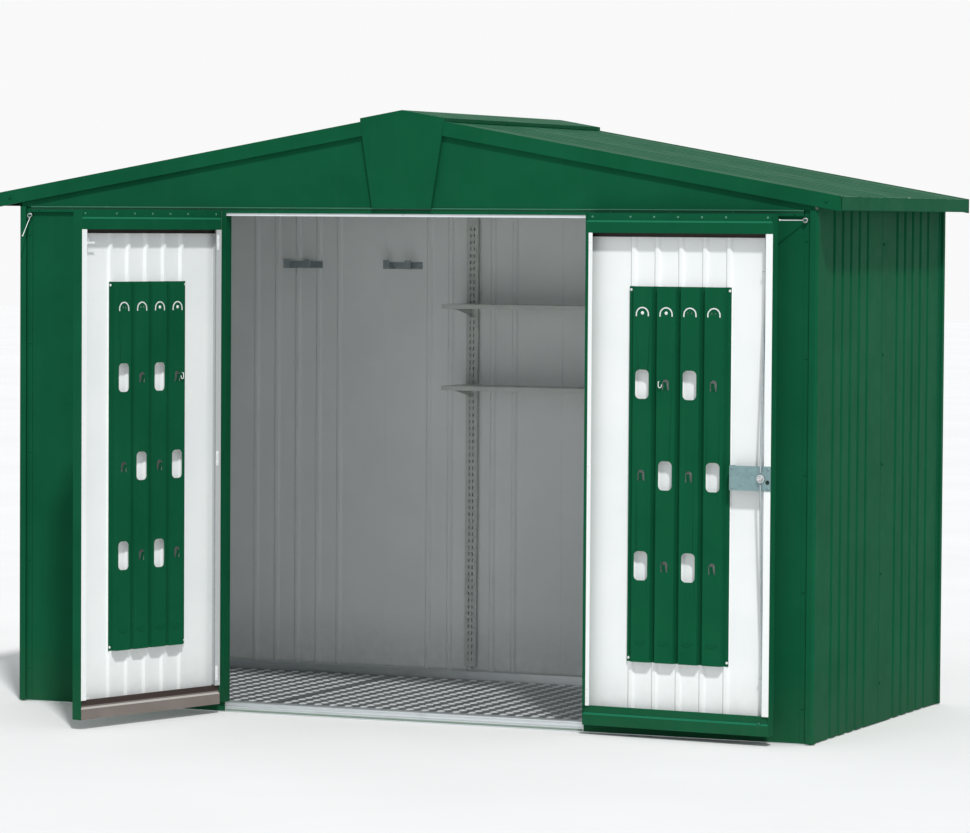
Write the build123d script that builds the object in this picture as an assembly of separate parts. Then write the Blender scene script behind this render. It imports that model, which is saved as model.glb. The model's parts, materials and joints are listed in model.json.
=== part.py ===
from build123d import *
import os
from math import atan, cos, hypot

os.makedirs("parts", exist_ok=True)

# The origin is the middle of the base on the ground. +X is right, +Y is towards the back wall.

# The whole shed
BASE_WIDTH = 3020.0
BASE_DEPTH = 1410.0
WALL_TOP = 1775.0
WALL_BOTTOM = 3.0
EAVE_RISE = 46.0          # wall top to the flat of the roof sheet at the eave
ROOF_RISE = 277.0         # eave to ridge
SIDE_OVERHANG = 80.0
END_OVERHANG = 8.0

# Sheet and folded trim
SHEET = 1.0
TRIM = 1.5
FACE_INSET = 2.0          # base edge to the outer face of posts, jambs and rails
WALL_INSET = 12.0         # base edge to the flat of the wall sheets
RIB_DEPTH = 8.0           # the ribs are pressed inwards
RIB_FOOT = 26.0
RIB_CROWN = 11.0
RIB_PITCH = 88.0
RIBS_PER_PANEL = 5
LAP = 22.0                # how far one sheet lies over the next
LAP_JOGGLE = 3.0          # run in which the lap steps out by one sheet
JOINT_GAP = 0.5

# Base frame and floor
SILL_HEIGHT = 35.0
SILL_WIDTH = 45.0
SILL_WALL = 2.0
FLOOR_THICKNESS = 5.0
FLOOR_PLATE = 720.0
FLOOR_SEAM_X = 100.0
FLOOR_SEAM_GAP = 1.2

# Corner posts, door jambs and rails
POST_NOSE = 30.0
POST_BEVEL = 8.0
POST_FLANGE = 22.0
DOORWAY_HALF = 680.0
JAMB_FACE = 30.0
JAMB_FLANGE = 15.0
LINTEL_DROP = 30.0
RAIL_FACE = 20.0
RAIL_DEPTH = 45.0
SIDE_RAIL_DEPTH = 43.0

# Joints of the fluted sheets
BACK_MODULE = 728.0
BACK_JOINT_X = 24.0       # the joint nearest the middle of the back wall
BACK_RIBS_FROM_JOINT = 370.0
SIDE_JOINT_Y = 10.0
SIDE_RIBS_FROM_JOINT = 338.0

# Roof trims
VERGE_HEIGHT = 50.0
VERGE_RETURN = 30.0
EAVE_DROP = 45.0          # eave trim's bottom under the flat of the roof sheet
EAVE_LIP = 30.0
EAVE_RETURN = 25.0
RIDGE_SHEET_GAP = 12.0
RIDGE_CAP_HALF = 158.0
RIDGE_CAP_EDGE = 12.0
KEYSTONE_FOOT_HALF = 111.0
KEYSTONE_SHEET = 2.0
REST_GAP = 0.3
GABLE_INSET = 5.0

# Door leaves
HINGE_FROM_DOORWAY = 17.0
HINGE_OUT = 27.0          # hinge axis before the face of the posts
LEAF_PAST_HINGE = 18.5    # shut leaf's outer face before the hinge axis
LEAF_FROM_HINGE = 5.0
LEAF_MEETING_GAP = 5.0
LEAF_DEPTH = 40.0
LEAF_UNDER_WALL_TOP = 13.0
LEAF_UNDER_SILL_TOP = 2.0
LEAF_RAIL = 66.0
RAIL_STRIP = 24.0         # upper part of a leaf's rail, set back by the step
RAIL_STEP = 6.0
RAIL_RETURN = 10.0
LEAF_STILE = 25.0
RIBS_OFF_MIDDLE = 4.75    # the leaf's ribs stand this much nearer to its hinges
RIGHT_OPEN = 175.5
LEFT_OPEN = 106.0

# Hinges
HINGE_FROM_LEAF_END = 110.0
KNUCKLE_R = 4.5
KNUCKLE_LENGTH = 24.0
KNUCKLE_GAP = 0.5
PIN_R = 2.5
PIN_CLEARANCE = 0.05
HINGE_PLATE = 3.0

# Tool boards on the leaves
BOARD_EDGE = 12.0
BOARD_BOTTOM = 255.0
BOARD_TOP = 1518.0
FLUTES = 4
FLUTE_DEPTH = 18.0
FLUTE_VALLEY = 8.0
FLUTE_SLOPE = 6.0
SLOT_WIDTH = 50.0
SLOT_HEIGHT = 98.0
SLOT_CORNER = 16.0
SLOT_ROWS = (1190.0, 885.0, 580.0)
RIGHT_SLOTS = ((0, 2), (1, 3), (0, 2))
LEFT_SLOTS = ((1, 3), (0, 2), (1, 3))

# Lock on the right leaf
LOCK_FROM_FREE_EDGE = 34.5
LOCK_Z = 888.0
LOCK_PLATE_WIDTH = 149.5
LOCK_PLATE_HEIGHT = 82.0
LOCK_PLATE_SHEET = 2.0
SPINDLE_R = 7.5
SPINDLE_HOLE_R = 9.0
SPINDLE_OUT = 24.0
SPINDLE_IN = 12.0
HANDLE_LENGTH = 110.0
HANDLE_WIDTH = 24.0
HANDLE_THICKNESS = 12.0
CAM_R = 14.0
CAM_THICKNESS = 4.0
CAM_GAP = 2.0
ROD_R = 3.5
ROD_FROM_CAM = 6.0
ROD_BEHIND_RAILS = 17.0   # inwards of the rods where they run behind the leaf's rails
ROD_CRANK_GAP = 10.0      # rods start to lean this far past the lock plate
ROD_STRAIGHT = 20.0       # rods are straight from this far before the guides
ROD_END_GAP = 32.0        # rod ends short of the leaf's edges
GUIDE_THICKNESS = 3.0
GUIDE_HALF = 9.0
GUIDE_FROM_END = 190.0

# Bolts on the left leaf
BOLT_R = 3.0
BOLT_LENGTH = 76.0
BOLT_FROM_EDGE = 36.0
BOLT_INWARDS = 20.0       # behind the leaf's rails
BOLT_SETBACK = 26.0       # bolt ends short of the leaf's edges when drawn
BOLT_KEEPER = 24.0

# Door stays
STAY_FROM_SIDE = 46.0
STAY_UNDER_WALL_TOP = 33.0
STAY_LENGTH = 72.0
STAY_WIRE_R = 2.0
STAY_RING_R = 6.0
STAY_PIN_OUT = 16.0
STAY_RING_FROM_FLANGE = 8.0
STAY_LEAN = 52.0

# Shelves
UPRIGHT_FROM_RIB = 9.0
UPRIGHT_WIDTH = 46.0
UPRIGHT_LIP = 12.0
UPRIGHT_DEPTH = 15.0
UPRIGHT_BOTTOM = 52.0
SHELF_OVERHANG = 39.0     # past the middle of each upright
SHELF_DEPTH = 195.0
SHELF_RIM = 16.0
SHELF_TOPS = {"shelf_upper": 1422.0, "shelf_lower": 1118.0}
BRACKET_SHEET = 2.5
BRACKET_ROOT = 46.0
BRACKET_TIP = 10.0

# Tool hangers on the back wall
HANGER_ON_RIBS_X = -1048.0
HANGER_ON_FLAT_X = -632.0
HANGER_Z = 1562.0
HANGER_WIDTH = 160.0
HANGER_HEIGHT = 26.0
HANGER_SHEET = 3.0
PRONG_WIDTH = 24.0
PRONG_LENGTH = 60.0
PRONG_SPACING = 90.0
PRONG_TIP = 34.0

# Worked out from the sizes above
HALF_WIDTH = BASE_WIDTH / 2
HALF_DEPTH = BASE_DEPTH / 2
EAVE_Z = WALL_TOP + EAVE_RISE
RIDGE_Z = EAVE_Z + ROOF_RISE
EAVE_BOTTOM = EAVE_Z - EAVE_DROP
LINTEL_Z = WALL_TOP - LINTEL_DROP
VERGE_LIP = END_OVERHANG + GABLE_INSET - REST_GAP
ROOF_HALF = HALF_WIDTH + SIDE_OVERHANG
ROOF_END = HALF_DEPTH + END_OVERHANG
SLOPE = ROOF_RISE / ROOF_HALF
SLOPE_ANGLE = atan(SLOPE)
ROOF_CROWN = -(SHEET + RIB_DEPTH) / cos(SLOPE_ANGLE)
SIDE_FLAT_X = HALF_WIDTH - WALL_INSET
END_FLAT_Y = HALF_DEPTH - WALL_INSET
FACE_X = HALF_WIDTH - FACE_INSET
FACE_Y = HALF_DEPTH - FACE_INSET
FRAME_X = SIDE_FLAT_X - SHEET - RIB_DEPTH
FRAME_FRONT_Y = SHEET - END_FLAT_Y
FRAME_BACK_Y = END_FLAT_Y - SHEET - RIB_DEPTH
HINGE_X = DOORWAY_HALF + HINGE_FROM_DOORWAY
HINGE_Y = -FACE_Y - HINGE_OUT
LEAF_EDGE_X = HINGE_X - LEAF_FROM_HINGE
LEAF_OUTER_Y = HINGE_Y - LEAF_PAST_HINGE
LEAF_WIDTH = LEAF_EDGE_X - LEAF_MEETING_GAP / 2
LEAF_TOP = WALL_TOP - LEAF_UNDER_WALL_TOP
LEAF_BOTTOM = SILL_HEIGHT - LEAF_UNDER_SILL_TOP
LEAF_RIB_CENTRE = LEAF_WIDTH / 2 - RIBS_OFF_MIDDLE
HINGE_HEIGHTS = (
    LEAF_BOTTOM + HINGE_FROM_LEAF_END,
    (LEAF_BOTTOM + LEAF_TOP) / 2,
    LEAF_TOP - HINGE_FROM_LEAF_END,
)
LOCK_FROM_EDGE = LEAF_WIDTH - LOCK_FROM_FREE_EDGE
LOCK_INNER_FACE = LEAF_DEPTH + LOCK_PLATE_SHEET
ROD_INWARDS = LOCK_INNER_FACE + CAM_GAP + CAM_THICKNESS / 2
STAY_X = HALF_WIDTH - STAY_FROM_SIDE
STAY_Z = WALL_TOP - STAY_UNDER_WALL_TOP


def save(shape, node):
    export_step(shape, f"parts/{node}.step")


def prism(outline, plane, length):
    """A straight bar of the given outline, drawn on the plane and run along its normal."""
    face = make_face(plane * Polyline(*outline, close=True))
    return extrude(face, amount=length, dir=plane.z_dir)


def upright(outline, bottom, top):
    return prism(outline, Plane.XY.offset(bottom), top - bottom)


def along_x(outline, start, end):
    """Outline in (Y, Z)."""
    return prism(outline, Plane(origin=(start, 0, 0), x_dir=(0, 1, 0), z_dir=(1, 0, 0)), end - start)


def along_y(outline, start, end):
    """Outline in (X, Z)."""
    return prism(outline, Plane(origin=(0, end, 0), x_dir=(1, 0, 0), z_dir=(0, -1, 0)), end - start)


def folded(points, thickness):
    """Closed outline of a folded sheet whose body lies to the left of the line of points."""
    normals = []
    for (x0, y0), (x1, y1) in zip(points, points[1:]):
        run = hypot(x1 - x0, y1 - y0)
        normals.append((-(y1 - y0) / run, (x1 - x0) / run))
    inner = []
    for index, (x, y) in enumerate(points):
        before = normals[max(index - 1, 0)]
        after = normals[min(index, len(normals) - 1)]
        mitre = thickness / (1 + before[0] * after[0] + before[1] * after[1])
        inner.append((x + (before[0] + after[0]) * mitre, y + (before[1] + after[1]) * mitre))
    return list(points) + inner[::-1]


def fluted(start, end, rib_centre, lap=0.0):
    """Outline of a ribbed sheet: along the wall, and outwards from its flat at 0.

    The ribs point inwards, and only those that fit between the edges are drawn.
    """
    outer = [(start, 0.0)]
    middles = [rib_centre + (index - (RIBS_PER_PANEL - 1) / 2) * RIB_PITCH for index in range(RIBS_PER_PANEL)]
    for middle in middles:
        if middle - RIB_FOOT / 2 <= start or middle + RIB_FOOT / 2 >= end - LAP_JOGGLE:
            continue
        outer += [
            (middle - RIB_FOOT / 2, 0.0),
            (middle - RIB_CROWN / 2, -RIB_DEPTH),
            (middle + RIB_CROWN / 2, -RIB_DEPTH),
            (middle + RIB_FOOT / 2, 0.0),
        ]
    if lap:
        outer += [(end - LAP_JOGGLE, 0.0), (end, SHEET), (end + lap, SHEET)]
    else:
        outer.append((end, 0.0))
    return outer + [(along, out - SHEET) for along, out in reversed(outer)]


def roof_z(x, above=0.0):
    """Height of the flat of the roof sheet at x, or of a plane above it."""
    return RIDGE_Z - SLOPE * abs(x) + above


def both_sides(shape):
    return {"left": mirror(shape, Plane.YZ), "right": shape}


def base_frame():
    channel = folded([(SILL_WIDTH, 0), (SILL_WIDTH, SILL_HEIGHT), (0, SILL_HEIGHT), (0, 0)], SILL_WALL)
    save(along_x([(FRAME_FRONT_Y + d, z) for d, z in channel], -FRAME_X, FRAME_X), "base_frame_front")
    back = [(FRAME_BACK_Y - d, z) for d, z in channel]
    save(along_x(back, -FRAME_X, FRAME_X), "base_frame_back")
    outline = [(FRAME_X - d, z) for d, z in channel]
    right = along_y(outline, FRAME_FRONT_Y + SILL_WIDTH, FRAME_BACK_Y - SILL_WIDTH)
    for side, shape in both_sides(right).items():
        save(shape, f"base_frame_{side}")


def floor():
    reach_x = FRAME_X - SILL_WIDTH
    front = FRAME_FRONT_Y + SILL_WIDTH
    back = FRAME_BACK_Y - SILL_WIDTH
    seams = [FLOOR_SEAM_X + step * FLOOR_PLATE for step in (-1, 0, 1)]
    starts = [-reach_x] + [seam + FLOOR_SEAM_GAP / 2 for seam in seams]
    ends = [seam - FLOOR_SEAM_GAP / 2 for seam in seams] + [reach_x]
    plates = [
        upright([(a, front), (b, front), (b, back), (a, back)], 0, FLOOR_THICKNESS)
        for a, b in zip(starts, ends)
    ]
    save(Compound(children=plates), "floor_plates")


def corner_posts():
    nose_x = HALF_WIDTH - POST_NOSE
    nose_y = POST_NOSE - HALF_DEPTH
    flange_x = SIDE_FLAT_X + TRIM
    flange_y = -END_FLAT_Y - TRIM
    line = [
        (nose_x - POST_FLANGE, flange_y),
        (nose_x, flange_y),
        (nose_x, -FACE_Y),
        (FACE_X - POST_BEVEL, -FACE_Y),
        (FACE_X, POST_BEVEL - FACE_Y),
        (FACE_X, nose_y),
        (flange_x, nose_y),
        (flange_x, nose_y + POST_FLANGE),
    ]
    post = upright(folded(line, TRIM), WALL_BOTTOM, WALL_TOP)
    pin_base = Plane(origin=(STAY_X, flange_y, STAY_Z), x_dir=(1, 0, 0), z_dir=(0, -1, 0))
    pin = extrude(pin_base * Circle(STAY_RING_R - STAY_WIRE_R - PIN_CLEARANCE), amount=STAY_PIN_OUT)
    for side, shape in both_sides(post + pin).items():
        save(shape, f"corner_post_front_{side}")
    for side, shape in both_sides(mirror(post, Plane.XZ)).items():
        save(shape, f"corner_post_back_{side}")


def hinge_fixed_knuckles():
    """Right-hand barrels and pins on the jamb."""
    shape = None
    for height in HINGE_HEIGHTS:
        barrel = Pos(HINGE_X, HINGE_Y, height) * Cylinder(KNUCKLE_R, KNUCKLE_LENGTH)
        pin = Pos(HINGE_X, HINGE_Y, height + KNUCKLE_LENGTH) * Cylinder(PIN_R, KNUCKLE_LENGTH)
        reach = -FACE_Y - HINGE_Y
        plate = Pos(HINGE_X, HINGE_Y + reach / 2, height) * Box(HINGE_PLATE, reach, KNUCKLE_LENGTH)
        hinge = barrel + pin + plate
        shape = hinge if shape is None else shape + hinge
    return shape


def hinge_leaf_knuckles():
    """Right-hand barrels on the shut leaf."""
    barrels = None
    for height in HINGE_HEIGHTS:
        middle = height + KNUCKLE_LENGTH + KNUCKLE_GAP / 2
        length = KNUCKLE_LENGTH - KNUCKLE_GAP
        barrel = Pos(HINGE_X, HINGE_Y, middle) * Cylinder(KNUCKLE_R, length)
        plate = Box(LEAF_FROM_HINGE, HINGE_PLATE, length)
        plate = Pos(HINGE_X - LEAF_FROM_HINGE / 2, HINGE_Y, middle) * plate
        bore = Pos(HINGE_X, HINGE_Y, middle) * Cylinder(PIN_R + PIN_CLEARANCE, KNUCKLE_LENGTH * 2)
        knuckle = barrel + plate - bore
        barrels = knuckle if barrels is None else barrels + knuckle
    return barrels


def door_jambs():
    inner = RAIL_DEPTH - HALF_DEPTH
    flange_y = -END_FLAT_Y - TRIM
    line = [
        (DOORWAY_HALF, inner),
        (DOORWAY_HALF, -FACE_Y),
        (DOORWAY_HALF + JAMB_FACE, -FACE_Y),
        (DOORWAY_HALF + JAMB_FACE, flange_y),
        (DOORWAY_HALF + JAMB_FACE + JAMB_FLANGE, flange_y),
    ]
    jamb = upright(folded(line, TRIM), SILL_HEIGHT, WALL_TOP - RAIL_FACE) + hinge_fixed_knuckles()
    for side, shape in both_sides(jamb).items():
        save(shape, f"door_jamb_{side}")


def front_walls():
    start = DOORWAY_HALF + TRIM
    end = SIDE_FLAT_X - SHEET
    outer, inner = -END_FLAT_Y, SHEET - END_FLAT_Y
    line = [(end, inner), (end, outer), (start, outer), (start, inner)]
    wall = upright(line, WALL_BOTTOM, WALL_TOP - TRIM)
    for side, shape in both_sides(wall).items():
        save(shape, f"front_wall_{side}")


def back_wall():
    joints = [BACK_JOINT_X + step * BACK_MODULE for step in (-1, 0, 1)]
    starts = [SHEET - SIDE_FLAT_X] + [joint + JOINT_GAP for joint in joints]
    ends = joints + [SIDE_FLAT_X - SHEET]
    for index, (start, end) in enumerate(zip(starts, ends)):
        ribs = BACK_JOINT_X + (index - 1) * BACK_MODULE - BACK_RIBS_FROM_JOINT
        lap = 0.0 if index == len(ends) - 1 else LAP
        outline = [(x, END_FLAT_Y + out) for x, out in fluted(start, end, ribs, lap)]
        save(upright(outline, WALL_BOTTOM, WALL_TOP - TRIM), f"back_wall_panel_{index + 1}")


def side_outlines(reach):
    """Outlines of the front and back sheet of a side, along Y and outwards."""
    ribs = SIDE_RIBS_FROM_JOINT
    return {
        "front": fluted(-reach, SIDE_JOINT_Y, SIDE_JOINT_Y - ribs, LAP),
        "back": fluted(SIDE_JOINT_Y + JOINT_GAP, reach, SIDE_JOINT_Y + ribs),
    }


def side_walls():
    for place, outline in side_outlines(END_FLAT_Y - SHEET).items():
        panel = upright([(SIDE_FLAT_X + out, y) for y, out in outline], WALL_BOTTOM, WALL_TOP)
        for side, shape in both_sides(panel).items():
            save(shape, f"{side}_wall_panel_{place}")


def end_rails():
    """Rails over the front and back walls, and the pale head of the doorway."""
    bottom = WALL_TOP - RAIL_FACE
    reach = HALF_WIDTH - POST_NOSE - POST_FLANGE
    back_line = [(RAIL_DEPTH, WALL_TOP), (FACE_INSET, WALL_TOP), (FACE_INSET, bottom)]
    front_line = back_line + [(WALL_INSET, bottom)]
    front = along_x([(d - HALF_DEPTH, z) for d, z in folded(front_line, TRIM)], -reach, reach)
    back = along_x([(d - HALF_DEPTH, z) for d, z in folded(back_line, TRIM)], -reach, reach)
    save(front, "front_top_rail")
    save(mirror(back, Plane.XZ), "back_top_rail")
    head_front = GABLE_INSET - HALF_DEPTH
    head_back = RAIL_DEPTH - HALF_DEPTH
    head = [(head_front, bottom), (head_front, LINTEL_Z), (head_back, LINTEL_Z), (head_back, WALL_TOP - TRIM)]
    save(along_x(folded(head, TRIM), -DOORWAY_HALF, DOORWAY_HALF), "door_head")


def side_rails():
    under = ROOF_CROWN
    inner = FACE_X - SIDE_RAIL_DEPTH
    line = [
        (inner, WALL_TOP),
        (FACE_X, WALL_TOP),
        (FACE_X, roof_z(FACE_X, under)),
        (inner, roof_z(inner, under)),
    ]
    reach = HALF_DEPTH - GABLE_INSET - SHEET
    for side, shape in both_sides(along_y(folded(line, TRIM), -reach, reach)).items():
        save(shape, f"side_top_rail_{side}")


def gables():
    under = -SHEET / cos(SLOPE_ANGLE)
    edge = SIDE_FLAT_X - SHEET
    half = [(0, WALL_TOP), (edge, WALL_TOP), (edge, roof_z(edge, under)), (0, roof_z(0, under))]
    outer = HALF_DEPTH - GABLE_INSET
    for side, shape in both_sides(along_y(half, -outer, SHEET - outer)).items():
        save(shape, f"gable_front_{side}")
    whole = half + [(-edge, roof_z(edge, under)), (-edge, WALL_TOP)]
    save(along_y(whole, outer - SHEET, outer), "gable_back")


def roof_sheets():
    reach = ROOF_END - TRIM
    length = (ROOF_HALF - TRIM) / cos(SLOPE_ANGLE) - RIDGE_SHEET_GAP
    down = Vector(1, 0, -SLOPE).normalized()
    top = Vector(0, 0, RIDGE_Z) + down * RIDGE_SHEET_GAP
    plane = Plane(origin=top, x_dir=(0, 1, 0), z_dir=down)
    for place, outline in side_outlines(reach).items():
        for side, shape in both_sides(prism(outline, plane, length)).items():
            save(shape, f"roof_panel_{side}_{place}")


def verge_trims():
    def strip(low, high, start, end):
        corners = [
            (JOINT_GAP, roof_z(JOINT_GAP, high)),
            (ROOF_HALF, roof_z(ROOF_HALF, high)),
            (ROOF_HALF, roof_z(ROOF_HALF, low)),
            (JOINT_GAP, roof_z(JOINT_GAP, low)),
        ]
        return along_y(corners, start, end)

    bottom = TRIM - VERGE_HEIGHT
    face = strip(bottom, TRIM, -ROOF_END, TRIM - ROOF_END)
    over = strip(0, TRIM, -ROOF_END, VERGE_RETURN - ROOF_END)
    lip = strip(bottom, bottom + TRIM, -ROOF_END, VERGE_LIP - ROOF_END)
    front = both_sides(face + over + lip)
    save(Compound(children=[front["left"], front["right"]]), "verge_trims_front")
    back = [mirror(shape, Plane.XZ) for shape in front.values()]
    save(Compound(children=back), "verge_trims_back")


def eave_trims():
    """A folded face that covers the ends of the roof sheets, with a shelf under their ribs."""
    inner = ROOF_HALF - EAVE_RETURN
    face = [(ROOF_HALF - EAVE_LIP, EAVE_BOTTOM), (ROOF_HALF, EAVE_BOTTOM), (ROOF_HALF, roof_z(ROOF_HALF))]
    shelf = [(ROOF_HALF - TRIM / 2, roof_z(ROOF_HALF, ROOF_CROWN)), (inner, roof_z(inner, ROOF_CROWN))]
    reach = ROOF_END - VERGE_LIP
    trim = along_y(folded(face, TRIM), -reach, reach) + along_y(folded(shelf, TRIM), -reach, reach)
    for side, shape in both_sides(trim).items():
        save(shape, f"eave_trim_{side}")


def ridge_cap():
    edge = RIDGE_CAP_HALF
    low = roof_z(edge, TRIM + REST_GAP)
    high = low + RIDGE_CAP_EDGE
    peak = high + edge * SLOPE
    line = [(edge, low), (edge, high), (0, peak), (-edge, high), (-edge, low)]
    cap = along_y(folded(line, TRIM), -ROOF_END, ROOF_END)
    keystone = [
        (edge, low),
        (edge, high),
        (0, peak),
        (-edge, high),
        (-edge, low),
        (-KEYSTONE_FOOT_HALF, WALL_TOP),
        (KEYSTONE_FOOT_HALF, WALL_TOP),
    ]
    front = along_y(keystone, -ROOF_END - KEYSTONE_SHEET, -ROOF_END)
    lean = (edge - KEYSTONE_FOOT_HALF) / (low - WALL_TOP)
    under_verge = roof_z(KEYSTONE_FOOT_HALF, TRIM - VERGE_HEIGHT - REST_GAP) - WALL_TOP
    rise = under_verge / (1 + SLOPE * lean)
    outer = [(KEYSTONE_FOOT_HALF, WALL_TOP), (KEYSTONE_FOOT_HALF + lean * rise, WALL_TOP + rise)]
    cheek = outer + [(x - KEYSTONE_SHEET, z) for x, z in reversed(outer)]
    for shape in both_sides(along_y(cheek, -ROOF_END, GABLE_INSET - REST_GAP - HALF_DEPTH)).values():
        front += shape
    save(cap + front + mirror(front, Plane.XZ), "ridge_cap")


def shelves():
    wall_y = END_FLAT_Y - SHEET - RIB_DEPTH
    front_y = wall_y - UPRIGHT_DEPTH
    middle_rib = BACK_JOINT_X - BACK_RIBS_FROM_JOINT + UPRIGHT_FROM_RIB
    upright_xs = (middle_rib, middle_rib + BACK_MODULE)
    uprights = []
    for x in upright_xs:
        left, right = x - UPRIGHT_WIDTH / 2, x + UPRIGHT_WIDTH / 2
        line = [
            (left + UPRIGHT_LIP, wall_y),
            (left, wall_y),
            (left, front_y),
            (right, front_y),
            (right, wall_y),
            (right - UPRIGHT_LIP, wall_y),
        ]
        uprights.append(upright(folded(line, TRIM), UPRIGHT_BOTTOM, LINTEL_Z))
    save(Compound(children=uprights), "shelf_uprights")
    for node, top in SHELF_TOPS.items():
        width = BACK_MODULE + 2 * SHELF_OVERHANG
        middle = Pos(sum(upright_xs) / 2, front_y - SHELF_DEPTH / 2, top - SHELF_RIM / 2)
        tray = middle * Box(width, SHELF_DEPTH, SHELF_RIM)
        tray -= middle * Pos(0, 0, -SHEET) * Box(width - 2 * SHEET, SHELF_DEPTH - 2 * SHEET, SHELF_RIM)
        under = top - SHEET
        for x in upright_xs:
            arm = [
                (front_y, under),
                (front_y - SHELF_DEPTH + SHEET, under),
                (front_y - SHELF_DEPTH + SHEET, under - BRACKET_TIP),
                (front_y - SHEET, under - BRACKET_ROOT),
                (front_y, under - BRACKET_ROOT),
            ]
            tray += along_x(arm, x - BRACKET_SHEET / 2, x + BRACKET_SHEET / 2)
        save(tray, node)


def tool_hangers():
    """Plates on the back wall, each with two folded prongs that turn up at the tip."""
    hangers = []
    for x, stand_off in ((HANGER_ON_RIBS_X, RIB_DEPTH), (HANGER_ON_FLAT_X, 0)):
        wall_y = END_FLAT_Y - SHEET - stand_off
        plate = Pos(x, wall_y - HANGER_SHEET / 2, HANGER_Z) * Box(HANGER_WIDTH, HANGER_SHEET, HANGER_HEIGHT)
        root = wall_y - HANGER_SHEET
        foot = HANGER_Z - HANGER_HEIGHT / 2
        line = [(root, foot), (root - PRONG_LENGTH, foot), (root - PRONG_LENGTH, foot + PRONG_TIP)]
        for side in (-1, 1):
            start = x + side * PRONG_SPACING / 2 - PRONG_WIDTH / 2
            plate += along_x(folded(line, -HANGER_SHEET), start, start + PRONG_WIDTH)
        hangers.append(plate)
    save(Compound(children=hangers), "tool_hangers")


def leaf_point(along, inwards):
    """Where a point of the shut right leaf lies: from its hinge edge, and in from its outer face."""
    return (LEAF_EDGE_X - along, LEAF_OUTER_Y + inwards)


def leaf_bar(outline, bottom, top):
    return upright([leaf_point(*point) for point in outline], bottom, top)


def leaf_skin():
    outline = fluted(TRIM, LEAF_WIDTH - TRIM, LEAF_RIB_CENTRE)
    return leaf_bar([(along, -out) for along, out in outline], LEAF_BOTTOM, LEAF_TOP)


def leaf_stiles():
    """Full-height edges of a leaf, with a flange inwards that stops at the rails."""
    edge = [(0, 0), (TRIM, 0), (TRIM, LEAF_DEPTH), (0, LEAF_DEPTH)]
    back = LEAF_DEPTH - TRIM
    flange = [(0, back), (LEAF_STILE, back), (LEAF_STILE, LEAF_DEPTH), (0, LEAF_DEPTH)]

    def stile(place):
        bar = leaf_bar([place(point) for point in edge], LEAF_BOTTOM, LEAF_TOP)
        lip = [place(point) for point in flange]
        return bar + leaf_bar(lip, LEAF_BOTTOM + LEAF_RAIL, LEAF_TOP - LEAF_RAIL)

    hinge_side = stile(lambda point: point)
    free_side = stile(lambda point: (LEAF_WIDTH - point[0], point[1]))
    return hinge_side + hinge_leaf_knuckles(), free_side


def leaf_rails():
    """Folded rails: a strip that is set back, and below it a band flush with the stiles."""
    rails = []
    start, end = LEAF_EDGE_X - LEAF_WIDTH + TRIM, LEAF_EDGE_X - TRIM
    outer = LEAF_OUTER_Y + RIB_DEPTH + SHEET
    band = LEAF_OUTER_Y + LEAF_DEPTH
    strip = band - RAIL_STEP
    upper = (LEAF_TOP, outer, band - RAIL_RETURN)
    lower = (LEAF_BOTTOM + LEAF_RAIL, strip - RAIL_RETURN, outer)
    for top, first, last in (upper, lower):
        line = [
            (first, top),
            (strip, top),
            (strip, top - RAIL_STRIP),
            (band, top - RAIL_STRIP - RAIL_STEP),
            (band, top - LEAF_RAIL),
            (last, top - LEAF_RAIL),
        ]
        rails.append(along_x(folded(line, -TRIM), start, end))
    return rails


def tool_board(slots):
    """A fluted board that lies on the leaf's ribs, with a valley on each rib."""
    back = RIB_DEPTH + SHEET
    first = LEAF_RIB_CENTRE - FLUTES / 2 * RIB_PITCH
    line = [(first - BOARD_EDGE, back + SHEET)]
    for index in range(FLUTES):
        start = first + index * RIB_PITCH + FLUTE_VALLEY / 2
        end = start + RIB_PITCH - FLUTE_VALLEY
        line += [
            (start, back + SHEET),
            (start + FLUTE_SLOPE, back + FLUTE_DEPTH),
            (end - FLUTE_SLOPE, back + FLUTE_DEPTH),
            (end, back + SHEET),
        ]
    line.append((first + FLUTES * RIB_PITCH + BOARD_EDGE, back + SHEET))
    outline = line + [(along, inwards - SHEET) for along, inwards in reversed(line)]
    board = leaf_bar(outline, BOARD_BOTTOM, BOARD_TOP)
    for height, columns in zip(SLOT_ROWS, slots):
        for column in columns:
            x, y = leaf_point(first + (column + 0.5) * RIB_PITCH, back + FLUTE_DEPTH)
            face = Plane(origin=(x, y, height), x_dir=(1, 0, 0), z_dir=(0, -1, 0))
            slot = face * RectangleRounded(SLOT_WIDTH, SLOT_HEIGHT, SLOT_CORNER)
            board -= extrude(slot, amount=SHEET * 2, both=True)
    return board


def lock_axis_plane(inwards):
    """Plane on the lock's spindle, facing into the shed, at a depth in the shut leaf."""
    x, y = leaf_point(LOCK_FROM_EDGE, inwards)
    return Plane(origin=(x, y, LOCK_Z), x_dir=(-1, 0, 0), z_dir=(0, 1, 0))


def lock_plate():
    """Bent plate from the leaf's skin over its free stile."""
    start = LEAF_WIDTH - LOCK_PLATE_WIDTH
    line = [(start, SHEET), (start, LOCK_INNER_FACE), (LEAF_WIDTH, LOCK_INNER_FACE)]
    half = LOCK_PLATE_HEIGHT / 2
    plate = leaf_bar(folded(line, -LOCK_PLATE_SHEET), LOCK_Z - half, LOCK_Z + half)
    hole = lock_axis_plane(LOCK_INNER_FACE) * Circle(SPINDLE_R + PIN_CLEARANCE)
    return plate - extrude(hole, amount=LOCK_PLATE_SHEET * 2, both=True)


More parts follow.
